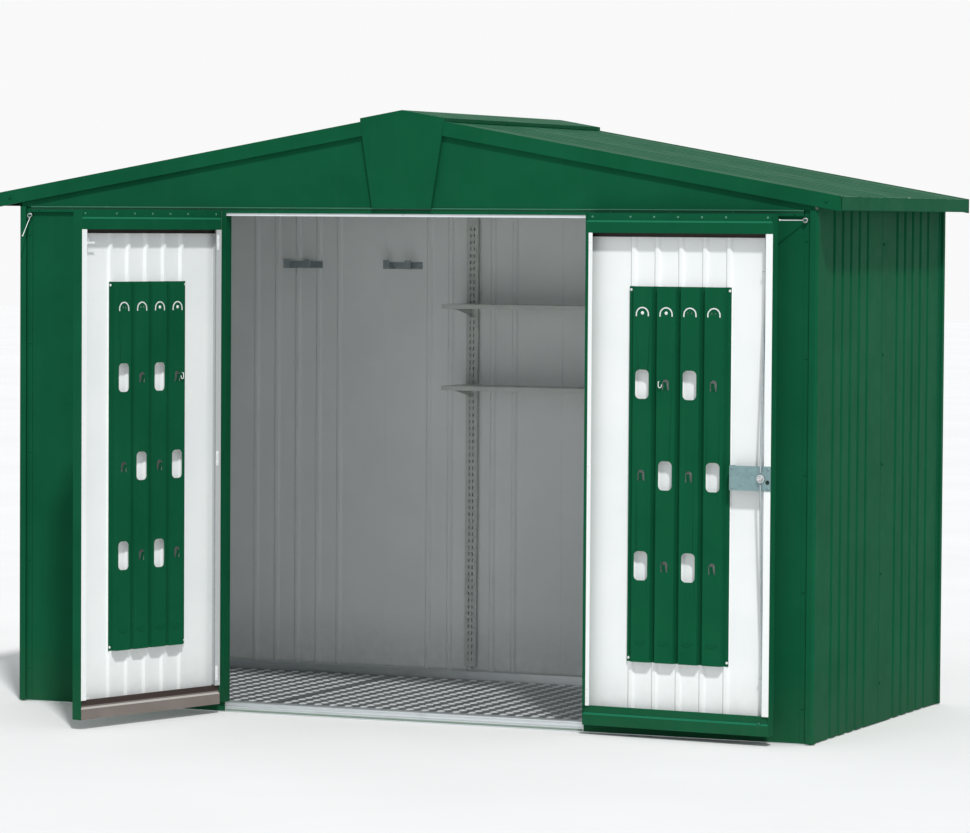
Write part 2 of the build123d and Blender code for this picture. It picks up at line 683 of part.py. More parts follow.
def lock_handle():
    length = SPINDLE_OUT + LEAF_DEPTH + SPINDLE_IN
    spindle = extrude(lock_axis_plane(-SPINDLE_OUT) * Circle(SPINDLE_R), amount=length)
    upright_slot = SlotOverall(HANDLE_LENGTH, HANDLE_WIDTH, rotation=90)
    grip = extrude(lock_axis_plane(-SPINDLE_OUT) * upright_slot, amount=HANDLE_THICKNESS)
    cam_plane = lock_axis_plane(LOCK_INNER_FACE + CAM_GAP)
    cam = extrude(cam_plane * Circle(CAM_R), amount=CAM_THICKNESS)
    return spindle + grip + cam


def lock_rods():
    """Upper and lower rod: each leans back from the cam, so that it runs behind the leaf's rail."""
    x, near_cam = leaf_point(LOCK_FROM_EDGE, ROD_INWARDS)
    x, near_rail = leaf_point(LOCK_FROM_EDGE, ROD_BEHIND_RAILS)
    rods = []
    for way, leaf_end in ((1, LEAF_TOP), (-1, LEAF_BOTTOM)):
        start = LOCK_Z + way * (CAM_R + ROD_FROM_CAM)
        crank = LOCK_Z + way * (LOCK_PLATE_HEIGHT / 2 + ROD_CRANK_GAP)
        straight = leaf_end - way * (GUIDE_FROM_END + ROD_STRAIGHT)
        end = leaf_end - way * ROD_END_GAP
        stations = [(near_cam, start), (near_cam, crank), (near_rail, straight), (near_rail, end)]
        path = Polyline(*[(x, y, z) for y, z in stations])
        section = Plane(origin=(x, near_cam, start), z_dir=(0, 0, way)) * Circle(ROD_R)
        rods.append(sweep(section, path=path, transition=Transition.RIGHT))
    return rods


def rod_guides():
    x, y = leaf_point(LOCK_FROM_EDGE, ROD_BEHIND_RAILS)
    skin_y = LEAF_OUTER_Y + SHEET
    guides = []
    for height in (LEAF_TOP - GUIDE_FROM_END, LEAF_BOTTOM + GUIDE_FROM_END):
        length = y + GUIDE_HALF - skin_y
        block = Pos(x, skin_y + length / 2, height) * Box(2 * GUIDE_HALF, length, GUIDE_THICKNESS)
        bore = Pos(x, y, height) * Cylinder(ROD_R + PIN_CLEARANCE, 2 * GUIDE_THICKNESS)
        guides.append(block - bore)
    return guides


def leaf_bolts():
    """Bolts behind the leaf's rails, each with a keeper on the skin."""
    x, y = leaf_point(LEAF_WIDTH - BOLT_FROM_EDGE, BOLT_INWARDS)
    skin_y = LEAF_OUTER_Y + SHEET
    bolts = []
    for edge, inward in ((LEAF_TOP, -1), (LEAF_BOTTOM, 1)):
        middle = edge + inward * (BOLT_SETBACK + BOLT_LENGTH / 2)
        bolt = Pos(x, y, middle) * Cylinder(BOLT_R, BOLT_LENGTH)
        keeper = Box(BOLT_KEEPER, y - skin_y, GUIDE_THICKNESS)
        bolt += Pos(x, (skin_y + y) / 2, edge + inward * (LEAF_RAIL - BOLT_KEEPER)) * keeper
        bolts.append(bolt)
    return bolts


def place_right(shape):
    return shape.rotate(Axis((HINGE_X, HINGE_Y, 0), (0, 0, 1)), RIGHT_OPEN)


def place_left(shape):
    return mirror(shape, Plane.YZ).rotate(Axis((-HINGE_X, HINGE_Y, 0), (0, 0, 1)), -LEFT_OPEN)


def door_leaves():
    x, y = leaf_point(LOCK_FROM_EDGE, 0)
    spindle_hole = Pos(x, y, LOCK_Z) * Rot(90, 0, 0) * Cylinder(SPINDLE_HOLE_R, LEAF_DEPTH)
    boards = {"left": LEFT_SLOTS, "right": RIGHT_SLOTS}
    for side, place in (("left", place_left), ("right", place_right)):
        skin = leaf_skin()
        if side == "right":
            skin -= spindle_hole
        save(place(skin), f"{side}_door_skin")
        save(Compound(children=[place(stile) for stile in leaf_stiles()]), f"{side}_door_stiles")
        save(Compound(children=[place(rail) for rail in leaf_rails()]), f"{side}_door_rails")
        save(place(tool_board(boards[side])), f"{side}_tool_board")
    save(Compound(children=[place_left(bolt) for bolt in leaf_bolts()]), "left_door_bolts")
    save(place_right(lock_plate()), "lock_plate")
    save(place_right(lock_handle()), "lock_handle")
    save(Compound(children=[place_right(guide) for guide in rod_guides()]), "lock_rod_guides")
    for node, rod in zip(("lock_rod_upper", "lock_rod_lower"), lock_rods()):
        save(place_right(rod), node)


def door_stays():
    """Wire stays with a ring on the post's pin: the right one reaches to the leaf, the left one hangs."""
    ring_y = -END_FLAT_Y - TRIM - STAY_RING_FROM_FLANGE
    centre = Vector(STAY_X, ring_y, STAY_Z)
    eye = Circle(STAY_RING_R + STAY_WIRE_R) - Circle(STAY_RING_R - STAY_WIRE_R)
    ring = extrude(Plane(origin=centre, z_dir=(0, -1, 0)) * eye, amount=STAY_WIRE_R, both=True)
    start = centre + Vector(-STAY_RING_R, 0, 0)
    end = centre + Vector(-STAY_LENGTH, -STAY_LEAN, 0)
    run = end - start
    wire = extrude(Plane(origin=start, z_dir=run) * Circle(STAY_WIRE_R), amount=run.length)
    right = ring + wire
    save(right, "right_stay")
    hanging = mirror(right, Plane.YZ).rotate(Axis((-STAY_X, ring_y, STAY_Z), (0, 1, 0)), 90)
    save(hanging, "left_stay")


base_frame()
floor()
corner_posts()
door_jambs()
front_walls()
back_wall()
side_walls()
end_rails()
side_rails()
gables()
roof_sheets()
verge_trims()
eave_trims()
ridge_cap()
shelves()
tool_hangers()
door_leaves()
door_stays()
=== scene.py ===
import json
import math

import bmesh
import bpy
from mathutils import Matrix, Vector


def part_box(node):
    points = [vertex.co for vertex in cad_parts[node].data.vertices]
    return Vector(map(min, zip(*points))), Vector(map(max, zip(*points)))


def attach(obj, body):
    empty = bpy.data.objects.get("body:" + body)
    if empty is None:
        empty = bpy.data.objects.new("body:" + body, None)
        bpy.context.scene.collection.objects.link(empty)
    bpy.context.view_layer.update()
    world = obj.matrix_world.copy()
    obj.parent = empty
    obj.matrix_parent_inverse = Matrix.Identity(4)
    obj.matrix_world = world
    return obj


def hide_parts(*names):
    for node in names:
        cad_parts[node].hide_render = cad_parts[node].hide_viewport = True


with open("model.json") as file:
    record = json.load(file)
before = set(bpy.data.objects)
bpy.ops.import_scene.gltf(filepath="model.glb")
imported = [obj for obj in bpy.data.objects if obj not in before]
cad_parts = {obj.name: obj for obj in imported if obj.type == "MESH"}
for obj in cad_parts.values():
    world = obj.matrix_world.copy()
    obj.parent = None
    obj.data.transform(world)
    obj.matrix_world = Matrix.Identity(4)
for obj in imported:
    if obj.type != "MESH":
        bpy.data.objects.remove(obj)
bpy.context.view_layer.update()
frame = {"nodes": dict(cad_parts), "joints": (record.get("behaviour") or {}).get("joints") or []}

# Metres, in the frame of the shed: +X right, +Y towards the back wall, +Z up.
# Leaf coordinates run along a leaf from its hinge edge, inwards from its outer face, and up.

LEFT, RIGHT = "left", "right"

# Photograph and camera
PHOTO_WIDTH = 970
FOCAL_PIXELS = 4326.55
SENSOR = 36.0
CAMERA_PLACE = Vector((6.1947, -14.2558, 1.7321))
CAMERA_YAW = 0.4094        # turned from +Y towards -X
CAMERA_PITCH = 0.0451      # tilted down
CAMERA_ROLL = 0.0066
CAMERA_REACH = 200

# Light
SUN_STRENGTH = 2.4
SUN_WIDTH = 4              # degrees across, for soft edges
SUN_TOWARDS = Vector((0.50, -0.74, 1.12))
SKY = (0.93, 0.96, 1.0)
SKY_STRENGTH = 0.59
SEEN_STRENGTH = 0.95       # the white that the camera and reflections see
FLOOR_HALF = 60
FLOOR_DROP = 0.0005        # keeps the floor just under the shed's foot

# Shell
POST_SHEET = 0.0015
BACK_LAPS = (-1.421, -0.693, 0.035, 0.763)
SIDE_LAP = 0.021
VERGE_FACE = 0.050
BEAD_REACH = 1.458
GABLE_FACE = -0.700
DOORWAY_REACH = 0.678
HEAD_SCREW_Z = 1.7535
LAP_SCREWS_FROM, LAP_SCREWS_TO = 0.14, 1.66
VERGE_SCREW_IN = 0.05      # from the verge's low end to its screw
STAY_X, STAY_Z = 1.464, 1.742      # centre of a stay's ring

# Door leaves, as shut
LEAF_FROM_HINGE = 0.005
LEAF_OUTER_Y = -0.7485
LEAF_DEPTH = 0.040
LEAF_WIDTH = 0.6895
LEAF_RIBS = 5
LEAF_RIB_CENTRE = 0.340
RIB_PITCH = 0.088
RIB_DEPTH = 0.008
SHEET = 0.001
STILE_FACE = 0.0006        # depth of paint that counts as a stile's outer edge
STILE_FLANGE = 0.030
STILE_GREEN = 0.011        # strip of the right leaf's hinge stile that stays green
RAIL_BOTTOM_TOP, RAIL_TOP_BOTTOM = 0.099, 1.696
RAIL_PARTING = 0.5         # any height between the lower and the upper rail
RIDGE_TOP = 0.0800         # top of a lower rail's fold, whose upward faces are painted lighter as a painted highlight; above it comes painted shade
RAIL_STRIP_FACE = 0.034    # inwards face of the rails' set-back strips
RAIL_STRIP_Z = 1.750
RIVET_FROM_EDGE = 0.022
FLANGE_BOTTOM, FLANGE_TOP = 1.683, 1.7605
HINGE_HEIGHTS = (0.143, 0.8975, 1.652)
HINGE_PLATE_ALONG = 0.018
HINGE_PLATE_HALF = (0.0060, 0.026)
HINGE_SCREW_STEP = 0.014

# Lock and bolts
LOCK_ALONG, LOCK_UP = 0.655, 0.888
LOCK_SHEET = 0.002
LOCK_SCREWS_ALONG, LOCK_SCREWS_UP = (0.549, 0.682), (0.856, 0.920)
SPINDLE_END = 0.048
BOLT_ALONG, BOLT_DEPTH = LEAF_WIDTH - 0.036, 0.020
BOLT_UPPER_Z, BOLT_LOWER_Z = 1.658, 0.146

# Tool boards
FLUTES = 4
BOARD_CROWN = 0.027        # inwards face of a board's flutes
BOARD_MIDDLE_Z = 0.8865
SLOT_ROWS = (1.190, 0.885, 0.580)
SLOTTED = {LEFT: ((1, 3), (0, 2), (1, 3)), RIGHT: ((0, 2), (1, 3), (0, 2))}
ARCH_Z, ARCH_OUTER, ARCH_INNER, ARCH_LEG = 1.425, 0.025, 0.0195, 0.008
STUDDED = (0, 1)           # flutes with a stud under the arch, where the others have two holes
HOOK_HALF, HOOK_OPENING = 0.018, 0.024
SMILE_Z = 0.325

# Colours, linear
GREEN = (0.0045, 0.078, 0.033)
GREEN_LIGHT = (0.0062, 0.092, 0.040)
GREEN_STREAK = (0.03, 0.12, 0.07)
# painted highlight: the rail rivets in a lighter copy of the green paint
RIVET_HIGHLIGHT_GREEN = (0.060, 0.230, 0.140)
# painted shade: near black for the gaps beside the front bead and for the lock plate's rivet
GAP_SHADE_GREEN = (0.002, 0.012, 0.006)
# painted highlight: a lighter copy of the green paint, for the rails' upward faces, the front bead and the
# rod's notch
HIGHLIGHT_GREEN = (0.014, 0.150, 0.078)
WHITE = (0.87, 0.89, 0.88)
WHITE_SHADE = (0.80, 0.83, 0.82)
HANDLING = (0.50, 0.50, 0.46)
WIRE_PAINT = (0.78, 0.80, 0.79)
HEAD_PAINT = (0.72, 0.76, 0.78)
SHELF = (0.60, 0.63, 0.60)
PRIMER = (0.19, 0.165, 0.15)
# painted shade on the upper strip and painted highlight on the ridge of the left leaf's lower rail
PRIMER_SHADE = (0.055, 0.042, 0.038)
RIDGE_HIGHLIGHT = (0.45, 0.43, 0.40)
# painted shade: the left leaf's pale hinge flange greyed
FLANGE_SHADE_GREY = (0.50, 0.52, 0.52)
# painted shade: the back coating under the upper rails darkened to near black
FLANGE_SHADE_DARK = (0.022, 0.013, 0.011)
SILL_FOOT = (0.20, 0.27, 0.22)
ALUMINIUM = (0.72, 0.76, 0.78)
# the tread plate's dark grey is partly dirt and partly painted shade and reflection; its crowns' near white
# is a painted highlight for their reflections
TREAD_DIRT_AND_SHADE = (0.21, 0.22, 0.225)
TREAD_CROWN_HIGHLIGHT = (0.90, 0.92, 0.94)
ZINC = (0.46, 0.52, 0.54)
LOCK_GREY = (0.22, 0.34, 0.35)
STEEL = (0.62, 0.64, 0.65)
BLACK = (0.018, 0.018, 0.018)
DIRT = (0.16, 0.13, 0.095)
DIRT_ON_METAL = (0.34, 0.33, 0.30)
DIRT_ON_PAINT = (0.30, 0.28, 0.25)
FLOOR_TONES = ((0.80, 0.80, 0.79), (0.84, 0.84, 0.83))

# Paint
GLOSS = 0.015
PAINT_ROUGHNESS = 0.50
DUST_TOP, DUST_FOOT = 0.24, 0.02   # heights between which dust thickens


# Node helpers

class Nodes:
    """Short calls for building one node material."""

    MIX_A, MIX_B, MIX_RESULT = 6, 7, 2   # the colour sockets of a Mix node

    def __init__(self, name):
        self.material = bpy.data.materials.new(name)
        self.material.use_nodes = True
        self.tree = self.material.node_tree
        self.shader = self.tree.nodes["Principled BSDF"]
        self.place = self.add("ShaderNodeTexCoord")

    def add(self, kind, **settings):
        node = self.tree.nodes.new(kind)
        for key, value in settings.items():
            setattr(node, key, value)
        return node

    def link(self, source, target):
        self.tree.links.new(source, target)

    def put(self, socket, value):
        if hasattr(value, "is_output"):
            self.link(value, socket)
        elif hasattr(value, "__len__") and socket.type == "RGBA":
            socket.default_value = (*value, 1.0)
        else:
            socket.default_value = value

    def math(self, operation, a, b=0.0, clamp=False):
        node = self.add("ShaderNodeMath", operation=operation, use_clamp=clamp)
        self.put(node.inputs[0], a)
        self.put(node.inputs[1], b)
        return node.outputs[0]

    def mix(self, factor, a, b):
        node = self.add("ShaderNodeMix", data_type="RGBA")
        self.put(node.inputs["Factor"], factor)
        self.put(node.inputs[self.MIX_A], a)
        self.put(node.inputs[self.MIX_B], b)
        return node.outputs[self.MIX_RESULT]

    def ramp(self, value, low, high, start=0.0, end=1.0):
        """From start to end as the value goes from low to high."""
        node = self.add("ShaderNodeMapRange")
        node.inputs["From Min"].default_value = low
        node.inputs["From Max"].default_value = high
        node.inputs["To Min"].default_value = start
        node.inputs["To Max"].default_value = end
        self.link(value, node.inputs["Value"])
        return node.outputs["Result"]

    def noise(self, scale, detail=3.0, stretch=(1, 1, 1), roughness=0.55):
        stretched = self.add("ShaderNodeMapping")
        stretched.inputs["Scale"].default_value = stretch
        self.link(self.place.outputs["Object"], stretched.inputs["Vector"])
        node = self.add("ShaderNodeTexNoise")
        node.inputs["Scale"].default_value = scale
        node.inputs["Detail"].default_value = detail
        node.inputs["Roughness"].default_value = roughness
        self.link(stretched.outputs["Vector"], node.inputs["Vector"])
        return node.outputs["Fac"]

    def along(self, coordinate, direction):
        """How far a coordinate reaches along a direction."""
        node = self.add("ShaderNodeVectorMath", operation="DOT_PRODUCT")
        self.link(self.place.outputs[coordinate], node.inputs[0])
        node.inputs[1].default_value = direction
        return node.outputs["Value"]

    def height(self):
        return self.along("Object", (0, 0, 1))

    def facing(self, direction):
        """1 where the surface faces the given way, down to -1 where it faces away."""
        return self.along("Normal", direction)

    def past(self, place, axis, distance):
        """1 where the surface lies further than a distance along an axis of a leaf's frame."""
        direction = place.to_3x3().col[axis]
        limit = place.translation.dot(direction) + distance
        return self.math("GREATER_THAN", self.along("Object", direction), limit)

    def bump(self, *layers):
        """Layers of (height value, strength, distance)."""
        normal = None
        for value, strength, distance in layers:
            node = self.add("ShaderNodeBump")
            node.inputs["Strength"].default_value = strength
            node.inputs["Distance"].default_value = distance
            self.link(value, node.inputs["Height"])
            if normal is not None:
                self.link(normal, node.inputs["Normal"])
            normal = node.outputs["Normal"]
        self.link(normal, self.shader.inputs["Normal"])

    def finish(self, colour, roughness, metallic=0.0, **constants):
        self.put(self.shader.inputs["Base Color"], colour)
        self.put(self.shader.inputs["Roughness"], roughness)
        self.shader.inputs["Metallic"].default_value = metallic
        for name, value in constants.items():
            self.shader.inputs[name.replace("_", " ")].default_value = value
        return self.material


# Leaf frames

def hinge_of(side):
    """A point on a leaf's hinge, and the leaf's turn from shut to its place at rest."""
    joint = next(j for j in frame["joints"] if j["name"] == f"{side}_door_hinge")
    low, high = joint["range_deg"]
    return Vector(joint["pos_m"]), math.radians(-low if side == RIGHT else -high)


def leaf_frame(side):
    """From leaf coordinates to the frame of the shed."""
    hinge, turn = hinge_of(side)
    edge_x = abs(hinge.x) - LEAF_FROM_HINGE
    shut = Matrix(((-1, 0, 0, edge_x), (0, 1, 0, LEAF_OUTER_Y), (0, 0, 1, 0), (0, 0, 0, 1)))
    if side == LEFT:
        shut = Matrix.Diagonal((-1, 1, 1, 1)) @ shut
    there = Matrix.Translation((hinge.x, hinge.y, 0))
    return there @ Matrix.Rotation(turn, 4, "Z") @ there.inverted() @ shut


LEAF = {side: leaf_frame(side) for side in (LEFT, RIGHT)}


def leaf_box(side, node):
    """Lowest and highest corner of a node in leaf coordinates."""
    back = LEAF[side].inverted()
    points = [back @ v.co for v in frame["nodes"][node].data.vertices]
    low = Vector([min(p[i] for p in points) for i in range(3)])
    high = Vector([max(p[i] for p in points) for i in range(3)])
    return low, high


def leaf_outwards(side):
    return LEAF[side].to_3x3() @ Vector((0, -1, 0))


def rib_lines(count):
    """Places along a leaf, one rib pitch apart and centred on its middle rib."""
    return [LEAF_RIB_CENTRE + (index - (count - 1) / 2) * RIB_PITCH for index in range(count)]


# Materials

def toned(colour, factor):
    """A darker or lighter tone of a colour."""
    return tuple(c * factor for c in colour)


def dusted(n, colour, most, scale):
    """The colour under patchy dust that thickens towards the ground."""
    fall = n.ramp(n.height(), DUST_TOP, DUST_FOOT, 0.0, most)
    return n.mix(n.math("MULTIPLY", fall, n.noise(scale, 5.0), clamp=True), colour, DIRT)


def green_layers(n):
    """Coil-coated green with faint mottling, rain streaks and dust near the ground."""
    mottle = n.ramp(n.noise(5.0, 4.0), 0.3, 0.7)
    streak = n.ramp(n.noise(9.0, 3.0, (3.0, 3.0, 0.22)), 0.52, 0.8, 0.0, 0.08)
    colour = n.mix(streak, n.mix(mottle, GREEN, GREEN_LIGHT), GREEN_STREAK)
    return dusted(n, colour, 0.10, 28.0)


def white_layers(n):
    """Pale inner coating with faint handling marks and dust."""
    mottle = n.ramp(n.noise(3.2, 4.0), 0.3, 0.75)
    marks = n.ramp(n.noise(34.0, 6.0, (1.0, 1.0, 0.5), 0.7), 0.62, 0.82, 0.0, 0.12)
    colour = n.mix(marks, n.mix(mottle, WHITE, WHITE_SHADE), HANDLING)
    return dusted(n, colour, 0.30, 30.0)


def back_coat(n):
    """Grey-brown coating of the reverse of the sheet."""
    return n.mix(n.ramp(n.noise(7.0, 5.0), 0.3, 0.7), PRIMER, toned(PRIMER, 1.25))


def coated_sheet(n, colour):
    """Finish a material as painted sheet: slightly wavy, under a fine orange peel."""
    n.bump(
        (n.noise(2.4, 1.0), 0.25, 0.012),
        (n.noise(620.0, 2.0), 0.06, 0.0006),
    )
    roughness = n.ramp(n.noise(14.0, 5.0), 0.25, 0.8, PAINT_ROUGHNESS - 0.05, PAINT_ROUGHNESS + 0.09)
    return n.finish(colour, roughness, Specular_IOR_Level=GLOSS)


def green_paint():
    n = Nodes("green_paint")
    return coated_sheet(n, green_layers(n))


def two_sided(name, outwards, start=-0.02):
    """Green where the surface faces outwards by more than start, and pale elsewhere."""
    n = Nodes(name)
    outside = n.math("GREATER_THAN", n.facing(outwards), start)
    return coated_sheet(n, n.mix(outside, white_layers(n), green_layers(n)))


def rail_paint(side):
    """Green rails whose upward faces take a lighter green as a painted highlight; the left leaf's lower rail
    shows the back coating, with painted shade on its upper strip and a painted highlight on its ridge.
    """
    n = Nodes(f"{side}_rail_paint")
    upwards = n.math("GREATER_THAN", n.facing((0, 0, 1)), 0.3)
    # upward faces are painted a lighter green: a painted highlight
    colour = n.mix(upwards, green_layers(n), HIGHLIGHT_GREEN)
    if side == LEFT:
        # painted highlight on the ridge's upward faces, and painted shade on the strip above the ridge
        ridge = n.mix(upwards, back_coat(n), RIDGE_HIGHLIGHT)
        lower = n.mix(n.math("GREATER_THAN", n.height(), RIDGE_TOP), ridge, PRIMER_SHADE)
        colour = n.mix(n.math("GREATER_THAN", n.height(), RAIL_PARTING), lower, colour)
    return coated_sheet(n, colour)


def stile_paint(side):
    """Green outer faces and pale inner ones; the left leaf's hinge edge shows the back coating, and its hinge
    flange is greyed as painted shade.
    """
    n = Nodes(f"{side}_stile_paint")
    place = LEAF[side]
    inner = n.math("LESS_THAN", n.facing(leaf_outwards(side)), 0.7)
    for test in (
        n.math("SUBTRACT", 1.0, n.past(place, 0, LEAF_WIDTH - STILE_FACE)),
        n.past(place, 0, STILE_GREEN if side == RIGHT else STILE_FACE),
        n.math("GREATER_THAN", n.height(), RAIL_BOTTOM_TOP),
        n.math("LESS_THAN", n.height(), RAIL_TOP_BOTTOM),
    ):
        inner = n.math("MULTIPLY", inner, test)
    edge, pale = green_layers(n), white_layers(n)
    if side == LEFT:
        edge = n.mix(n.past(place, 0, STILE_FACE), back_coat(n), edge)
        # painted shade: the pale flange by the left leaf's hinge is greyed
        pale = n.mix(n.past(place, 0, STILE_FLANGE), FLANGE_SHADE_GREY, pale)
    return coated_sheet(n, n.mix(inner, edge, pale))


def lock_finish():
    """Black grip outside the leaf, zinc-plated spindle and cam inside it."""
    n = Nodes("lock_handle_finish")
    inside = n.past(LEAF[RIGHT], 1, LEAF_DEPTH / 2)
    grain = n.noise(600.0, 3.0)
    n.bump((grain, 0.12, 0.0004))
    n.put(n.shader.inputs["Metallic"], n.math("MULTIPLY", inside, 0.9))
    n.put(n.shader.inputs["Base Color"], n.mix(inside, BLACK, STEEL))
    n.put(n.shader.inputs["Roughness"], n.ramp(grain, 0.2, 0.8, 0.34, 0.50))
    return n.material


def aluminium(name, colour, roughness, streak, metallic=0.9):
    """Rolled metal with faint lines and patches of dirt."""
    n = Nodes(name)
    lines = n.noise(60.0, 4.0, streak)
    tone = n.mix(n.ramp(lines, 0.3, 0.75), colour, toned(colour, 0.82))
    dirt = n.ramp(n.noise(11.0, 6.0), 0.60, 0.85, 0.0, 0.40)
    n.bump((lines, 0.10, 0.0008))
    worn = n.ramp(lines, 0.2, 0.8, roughness - 0.08, roughness + 0.12)
    return n.finish(n.mix(dirt, tone, DIRT_ON_METAL), worn, metallic)


def zinc(name, colour, metallic=0.85):
    """Galvanised sheet with its spangle."""
    n = Nodes(name)
    cells = n.add("ShaderNodeTexVoronoi")
    cells.inputs["Scale"].default_value = 90.0
    n.link(n.place.outputs["Object"], cells.inputs["Vector"])
    grey = n.add("ShaderNodeSeparateColor")
    n.link(cells.outputs["Color"], grey.inputs[0])
    tone = n.mix(grey.outputs[0], colour, toned(colour, 0.84))
    n.bump((n.noise(240.0, 3.0), 0.08, 0.0005))
    return n.finish(tone, n.ramp(grey.outputs[1], 0.0, 1.0, 0.40, 0.55), metallic)


def painted(name, colour, roughness=0.42):
    """Plain paint with faint mottling and marks."""
    n = Nodes(name)
    mottle = n.noise(12.0, 4.0)
    tone = n.mix(n.ramp(mottle, 0.3, 0.7), colour, toned(colour, 0.9))
    marks = n.ramp(n.noise(46.0, 6.0), 0.64, 0.85, 0.0, 0.22)
    n.bump((n.noise(500.0, 2.0), 0.06, 0.0005))
    worn = n.ramp(mottle, 0.2, 0.8, roughness - 0.05, roughness + 0.08)
    return n.finish(n.mix(marks, tone, DIRT_ON_PAINT), worn)


def bright_steel(name):
    """Bare plated wire."""
    n = Nodes(name)
    fine = n.noise(90.0, 4.0)
    n.bump((n.noise(800.0, 2.0), 0.08, 0.0003))
    tone = n.mix(n.ramp(fine, 0.35, 0.8), STEEL, toned(STEEL, 0.7))
    return n.finish(tone, n.ramp(fine, 0.2, 0.8, 0.28, 0.46), 0.95)


# Mesh helpers

def move(shape, matrix):
    """Move a form, and turn its faces over where the matrix mirrors it."""
    bmesh.ops.transform(shape, matrix=matrix, verts=shape.verts)
    if matrix.determinant() < 0:
        bmesh.ops.reverse_faces(shape, faces=shape.faces)


def mesh_object(name, shape, *materials):
    """An object in the scene from a bmesh, which is freed."""
    mesh = bpy.data.meshes.new(name)
    shape.to_mesh(mesh)
    shape.free()
    for material in materials:
        mesh.materials.append(material)
    thing = bpy.data.objects.new(name, mesh)
    bpy.context.scene.collection.objects.link(thing)
    return thing


def make_piece(name, shape, material, body, place=None, smooth=None):
    """A mesh piece from a bmesh, put in its place, with its material and body."""
    if place is not None:
        move(shape, place)
    piece = mesh_object(name, shape, material)
    if smooth is not None:
        piece.data.shade_smooth()
        piece.data.set_sharp_from_angle(angle=math.radians(smooth))
    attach(piece, body)
    return piece


def face_outwards(shape):
    bmesh.ops.recalc_face_normals(shape, faces=shape.faces)


def add_box(shape, low, high):
    size = Vector(high) - Vector(low)
    middle = (Vector(high) + Vector(low)) / 2
    matrix = Matrix.Translation(middle) @ Matrix.Diagonal((*size, 1))
    bmesh.ops.create_cube(shape, size=1, matrix=matrix)


def skin(shape, rings, capped=True):
    """Faces between neighbouring rings of the same number of corners, and over the two end rings."""
    for low, high in zip(rings, rings[1:]):
        for step in range(len(low)):
            after = (step + 1) % len(low)
            shape.faces.new((low[step], low[after], high[after], high[step]))
    if capped:
        shape.faces.new(rings[0][::-1])
        shape.faces.new(rings[-1])


def turned(shape, profile, place, steps=14):
    """A form of revolution about local Z from points of (radius, height), closed at radius 0."""
    rings = []
    for radius, height in profile:
        angles = [2 * math.pi * step / steps for step in range(steps if radius else 1)]
        points = [Vector((radius * math.cos(a), radius * math.sin(a), height)) for a in angles]
        rings.append([shape.verts.new(place @ point) for point in points])
    flip = place.determinant() < 0
    for low, high in zip(rings, rings[1:]):
        for step in range(steps):
            after = (step + 1) % steps
            corners = [low[step % len(low)], low[after % len(low)]]
            corners += [high[after % len(high)], high[step % len(high)]]
            unique = list(dict.fromkeys(corners))
            if len(unique) > 2:
                shape.faces.new(unique[::-1] if flip else unique)


def standing_on(point, normal):
    """Frame at a point with local Z along the normal."""
    return Matrix.Translation(point) @ Vector(normal).to_track_quat("Z", "Y").to_matrix().to_4x4()


def on_leaf(along, depth, up):
    """Frame at a point in leaf coordinates that stands inwards."""
    return standing_on((along, depth, up), (0, 1, 0))


def tube(shape, points, radius, steps=8):
    """A round wire along points, with flat ends."""
    points = [Vector(p) for p in points]
    angles = [2 * math.pi * step / steps for step in range(steps)]
    side = None
    rings = []
    for index, point in enumerate(points):
        before = points[max(index - 1, 0)]
        after = points[min(index + 1, len(points) - 1)]
        along = (after - before).normalized()
        if side is None:
            side = along.orthogonal()
        side = (side - along * side.dot(along)).normalized()
        other = along.cross(side)
        ring = [point + radius * (side * math.cos(a) + other * math.sin(a)) for a in angles]
        rings.append([shape.verts.new(p) for p in ring])
    skin(shape, rings)


def arc(centre, radius, start, end, steps=12):
    """Points (along, up) of an arc, with its angles in degrees."""
    angles = [math.radians(start + (end - start) * step / steps) for step in range(steps + 1)]
    return [(centre[0] + radius * math.cos(a), centre[1] + radius * math.sin(a)) for a in angles]


def at_depth(points, depth):
    """Points (along, up) as points in leaf coordinates."""
    return [(along, depth, up) for along, up in points]


def band(shape, outer, inner, low, high):
    """A closed strip between two rows of points (along, up), from one depth to another."""
    lines = [at_depth(line, depth) for depth in (low, high) for line in (outer, inner)]
    bottom_outer, bottom_inner, top_outer, top_inner = [[shape.verts.new(p) for p in line] for line in lines]
    count = len(outer)
    for index in range(count - 1):
        after = index + 1
        shape.faces.new((bottom_outer[index], bottom_outer[after], bottom_inner[after], bottom_inner[index]))
        shape.faces.new((top_outer[index], top_inner[index], top_inner[after], top_outer[after]))
        shape.faces.new((bottom_outer[index], top_outer[index], top_outer[after], bottom_outer[after]))
        shape.faces.new((bottom_inner[index], bottom_inner[after], top_inner[after], top_inner[index]))
    for index, flip in ((0, False), (count - 1, True)):
        corners = (bottom_outer[index], bottom_inner[index], top_inner[index], top_outer[index])
        shape.faces.new(corners[::-1] if flip else corners)


def prism(shape, outline, low, high):
    """A closed block over an outline of (along, up), from one depth to another."""
    skin(shape, [[shape.verts.new(p) for p in at_depth(outline, depth)] for depth in (high, low)])


def rounded(along, up, half_width, half_height, radius):
    """Outline (along, up) of a plate with round corners."""
    outline = []
    for turn, (a, b) in enumerate(((1, 1), (-1, 1), (-1, -1), (1, -1))):
        centre = (along + a * (half_width - radius), up + b * (half_height - radius))
        outline += arc(centre, radius, 90 * turn, 90 * turn + 90, 4)
    return outline


# Turned profiles, as points of (radius, height)

def resized(profile, across, up):
    return [(radius * across, height * up) for radius, height in profile]


